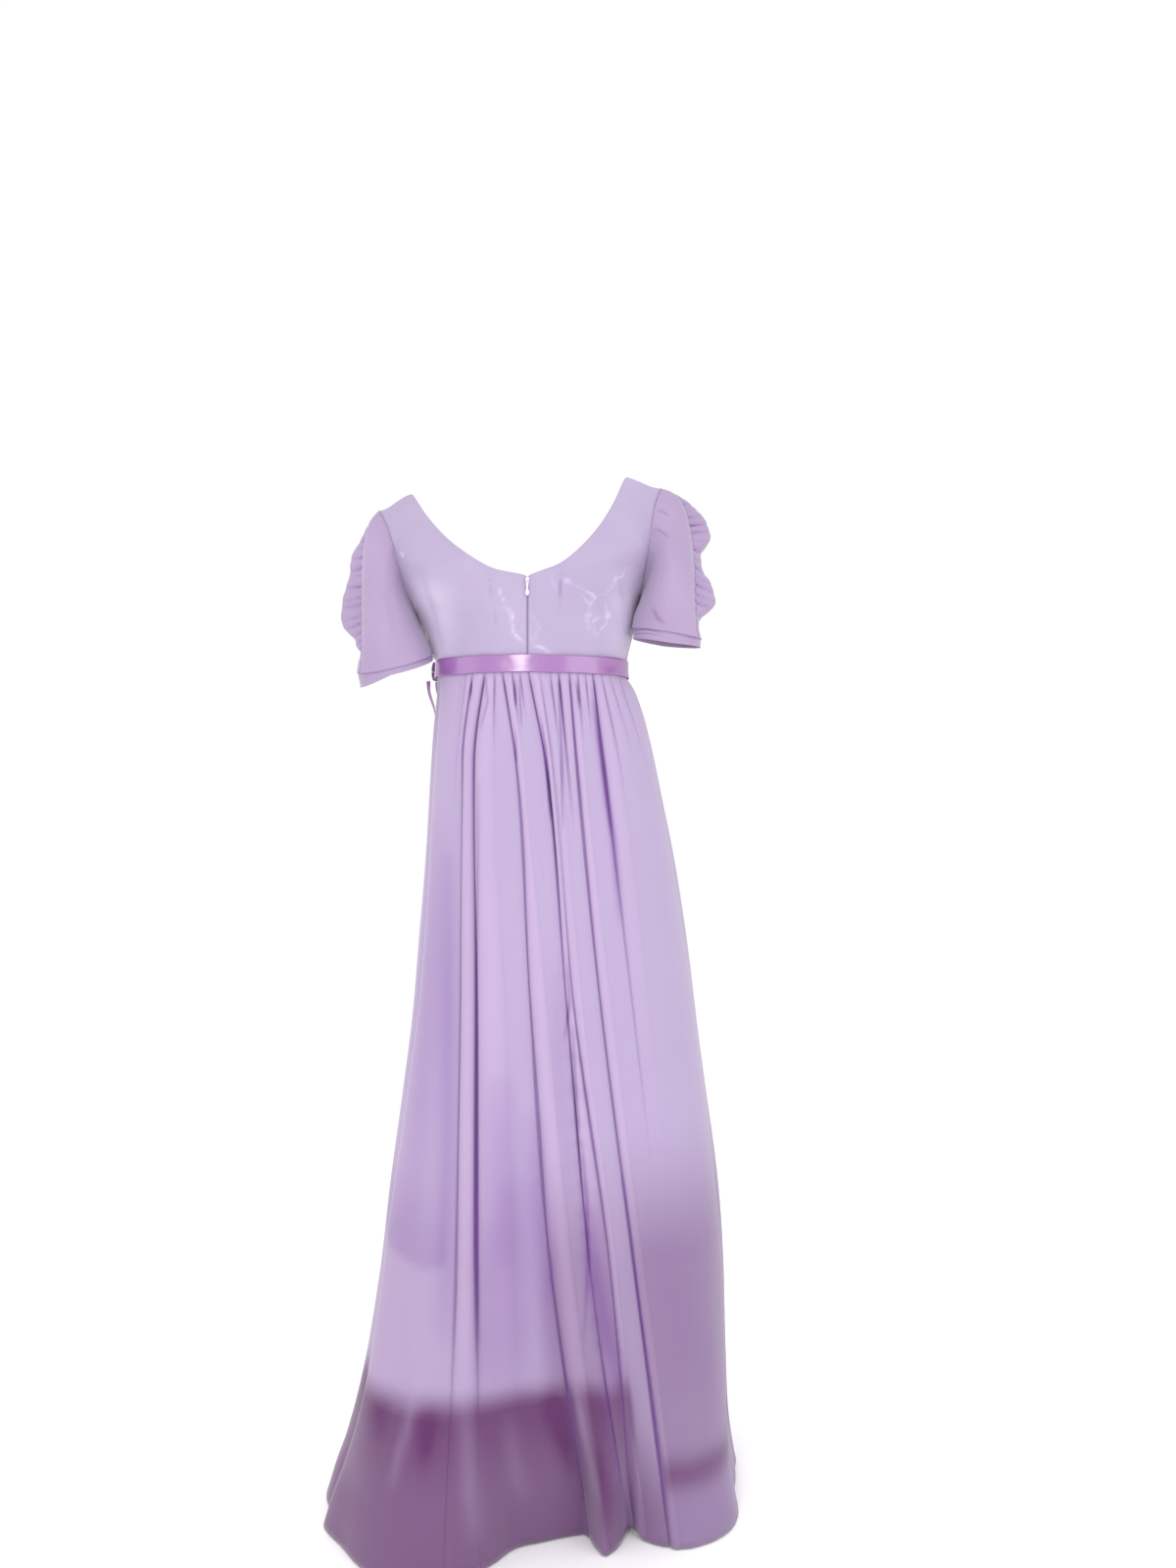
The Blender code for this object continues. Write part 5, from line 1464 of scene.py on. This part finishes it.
class GOWN_OT_ribbon(Operator):
    """Tie the satin ribbon round the high waist, with its knot and two hanging ends"""
    bl_idname = "gown.ribbon"
    bl_label = "Satin ribbon"

    def execute(self, context):
        sizes = context.scene.gown_cloth
        color = context.scene.gown_dyes.ribbon
        turn, low = grid(circle(RIBBON_GRID[0]), spread_out(RIBBON_GRID[1]))
        size = section(WAIST_Z)
        wander = 0.00028 * np.sin(np.radians(turn * 7)) + 0.00022 * np.sin(np.radians(turn * 17 + 30))
        lift = RIBBON_LIFT + 0.0010 + 0.0010 * low
        lift = lift + wander * np.sin(pi * low) + 0.00030 * np.cos(2 * pi * low)
        spot = moved(ring(size, turn), ring_out(size, turn), lift)
        drop = 0.00035 * np.sin(np.radians(turn * 5 + 50)) + 0.0002 * np.sin(np.radians(turn * 13))
        z = mix(RIBBON_TOP_Z, RIBBON_FOOT_Z, low) + drop
        points = np.concatenate((spot, z[..., None]), axis=-1)
        away = out_of(points)
        # painted shade along the ribbon's edges
        rim = bell(np.abs(low - 0.5) - 0.5, 0.035)
        band = cloth("waist_ribbon_tied", [(points, {"hollow": 0.35 * rim}, away)], sizes.satin,
                     satin("waist_ribbon_gloss", color), closed=True)
        sewn(band, "waist_ribbon")
        points, away, crease = knot_points()
        knot = cloth("ribbon_knot_tied", [(points, {"hollow": np.clip(crease, 0, 0.6)}, away)], sizes.satin,
                     satin("ribbon_knot_gloss", color), weld=0.00001)
        sewn(knot, "ribbon_knot")
        for node, turn, spread, foot_z, bulge in TAILS:
            points, rim = tail_points(turn, spread, foot_z, bulge, sizes.steepest)
            away = out_of(points)
            piece = cloth(node + "_hung", [(points, {"hollow": rim}, away)], sizes.satin,
                          satin(node + "_gloss", color))
            sewn(piece, node)
        return {"FINISHED"}


# --------------------------------------------------------------------------------------- zip
class GOWN_OT_zip(Operator):
    """Sew the zip tape behind the back edges, with its coil, and enamel the slider and pull"""
    bl_idname = "gown.zip"
    bl_label = "Back zip"

    def execute(self, context):
        dyes = context.scene.gown_dyes
        columns, rows = TAPE_GRID
        ups = np.linspace(0.12, NECK_RIB - 0.10, rows)
        side, up = grid(np.linspace(-TAPE_HALF, TAPE_HALF, columns), ups)
        points = upright(BACK_RIBS, np.abs(side) * TAPE_ACROSS, up)
        points[..., 0] = side
        points[..., 1] -= TAPE_DEPTH
        points = lean(points)
        away = out_of(points)
        look = fabric("zip_tape_woven", dyes.crepe, roughness=0.8, sheen=0.1, thread=0.0005, weave=0.2,
                      crinkle=0.00004, tone=0.04)
        tape = cloth("zip_tape_sewn", [(points, {}, away)], TAPE_WALL, look)
        sewn(tape, "zip_tape")
        coil(points, dyes)
        for node in ("zip_slider", "zip_pull"):
            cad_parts[node].data.materials[0] = enamel(node + "_paint", dyes.enamel)
        return {"FINISHED"}


def coil(points, dyes):
    """Row of coil teeth on the inner side of the tape: one tooth is shaped, the rest are copies."""
    middle = points[:, points.shape[1] // 2]
    steps = np.linspace(0, len(middle) - 1, TEETH)
    spots = np.stack([np.interp(steps, np.arange(len(middle)), middle[:, i]) for i in range(3)], axis=-1)
    bpy.ops.object.select_all(action="DESELECT")
    bpy.ops.mesh.primitive_torus_add(major_segments=14, minor_segments=5, major_radius=TOOTH_RADIUS,
                                     minor_radius=TOOTH_WIRE)
    tooth = bpy.context.object
    bpy.ops.object.mode_set(mode="EDIT")
    bpy.ops.mesh.select_all(action="SELECT")
    bpy.ops.transform.resize(value=(1.0, TOOTH_SQUASH, 1.0))
    bpy.ops.object.mode_set(mode="OBJECT")
    copies = [tooth]
    for _ in range(TEETH - 1):
        made = tooth.copy()
        made.data = tooth.data.copy()
        bpy.context.scene.collection.objects.link(made)
        copies.append(made)
    for made, spot in zip(copies, spots):
        made.location = (spot[0], spot[1] - TOOTH_RADIUS, spot[2])
        made.rotation_euler = (radians(TOOTH_TILT), 0, 0)
        made.select_set(True)
    bpy.context.view_layer.objects.active = tooth
    bpy.ops.object.transform_apply(location=True, rotation=True, scale=True)
    bpy.ops.object.join()
    bpy.ops.object.shade_smooth()
    tooth.name = "zip_coil"
    tooth.data.name = "zip_coil"
    look = clouded("zip_coil_nylon", opaque(dyes.crepe, 0.9), opaque(dyes.crepe), 700.0, 0.4)
    tooth.data.materials.clear()
    tooth.data.materials.append(look)
    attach(tooth, "gown")
    bpy.ops.object.select_all(action="DESELECT")


# ------------------------------------------------------------------------------------- stage
CAMERA = (-0.1047, 1.77, -0.45)
# softboxes: name, place, pitch and yaw in degrees, width, height, share of the fill's power (or the key's)
LIGHTS = (
    ("key", (0.42, 2.35, 0.10), 88, 170, 0.46, 1.7, 1.0),
    ("fill", (-1.95, 1.55, 0.15), 88, 232, 1.8, 2.4, 1.0),
    ("side", (2.3, 0.7, 0.0), 88, 107, 1.6, 2.2, 0.35),
    ("top", (0.0, 0.4, 2.6), 0, 0, 2.4, 2.4, 0.9),
    ("front", (0.2, -2.4, 0.3), 88, 0, 1.8, 1.8, 0.9),
)


class GOWN_OT_stage(Operator):
    """Lay the pale floor and set the camera and the soft lights"""
    bl_idname = "gown.stage"
    bl_label = "Studio"

    def execute(self, context):
        stage = context.scene.gown_stage
        bpy.ops.object.select_all(action="DESELECT")
        bpy.ops.mesh.primitive_plane_add(size=stage.floor_size, location=(0, 0, HEM_Z - 0.002))
        floor = context.object
        floor.name = "studio_floor"
        bpy.ops.object.transform_apply(location=True, rotation=True, scale=True)
        color = context.scene.gown_dyes.floor
        paper = clouded("studio_floor_paper", opaque(color), opaque(color, 0.985), 3.0, 0.9)
        floor.data.materials.append(paper)
        bpy.ops.object.camera_add(location=CAMERA, rotation=(radians(90), 0, radians(180)))
        camera = context.object
        camera.name = "camera"
        camera.data.lens = stage.lens
        camera.data.sensor_fit = "VERTICAL"
        camera.data.sensor_height = 36.0
        camera.data.sensor_width = 27.0
        context.scene.camera = camera
        for name, spot, pitch, yaw, wide, tall, share in LIGHTS:
            bpy.ops.object.light_add(type="AREA", location=spot, rotation=(radians(pitch), 0, radians(yaw)))
            light = context.object
            light.name = "light_" + name
            light.data.shape = "RECTANGLE"
            light.data.size = wide
            light.data.size_y = tall
            light.data.energy = (stage.key if name == "key" else stage.fill) * share
        world = bpy.data.worlds.new("studio")
        context.scene.world = world
        world.use_nodes = True
        surround = world.node_tree.nodes["Background"]
        surround.inputs["Color"].default_value = (1, 1, 1, 1)
        surround.inputs["Strength"].default_value = stage.air
        context.scene.view_settings.view_transform = "Standard"
        bpy.ops.object.select_all(action="DESELECT")
        return {"FINISHED"}


STEPS = (GOWN_OT_bodice, GOWN_OT_skirt, GOWN_OT_lining, GOWN_OT_sleeves, GOWN_OT_cuffs, GOWN_OT_ribbon,
         GOWN_OT_zip, GOWN_OT_stage)


class GOWN_PT_sewing(Panel):
    """Lists the sewing steps and the sizes and colours they use"""
    bl_label = "Regency gown"
    bl_idname = "GOWN_PT_sewing"
    bl_space_type = "VIEW_3D"
    bl_region_type = "UI"
    bl_category = "Gown"

    def draw(self, context):
        for step in STEPS:
            self.layout.operator(step.bl_idname)
        for group in (context.scene.gown_cloth, context.scene.gown_dyes, context.scene.gown_stage):
            box = self.layout.box()
            for name in group.__annotations__:
                box.prop(group, name)


CLASSES = (GownCloth, GownDyesAndPaintedLight, GownStage) + STEPS + (GOWN_PT_sewing,)


def register():
    for kind in CLASSES:
        bpy.utils.register_class(kind)
    bpy.types.Scene.gown_cloth = PointerProperty(type=GownCloth)
    bpy.types.Scene.gown_dyes = PointerProperty(type=GownDyesAndPaintedLight)
    bpy.types.Scene.gown_stage = PointerProperty(type=GownStage)


def unregister():
    del bpy.types.Scene.gown_stage
    del bpy.types.Scene.gown_dyes
    del bpy.types.Scene.gown_cloth
    for kind in reversed(CLASSES):
        bpy.utils.unregister_class(kind)


def main():
    register()
    bpy.ops.gown.bodice()
    bpy.ops.gown.skirt()
    bpy.ops.gown.lining()
    bpy.ops.gown.sleeves()
    bpy.ops.gown.cuffs()
    bpy.ops.gown.ribbon()
    bpy.ops.gown.zip()
    bpy.ops.gown.stage()


if __name__ == "__main__":
    main()
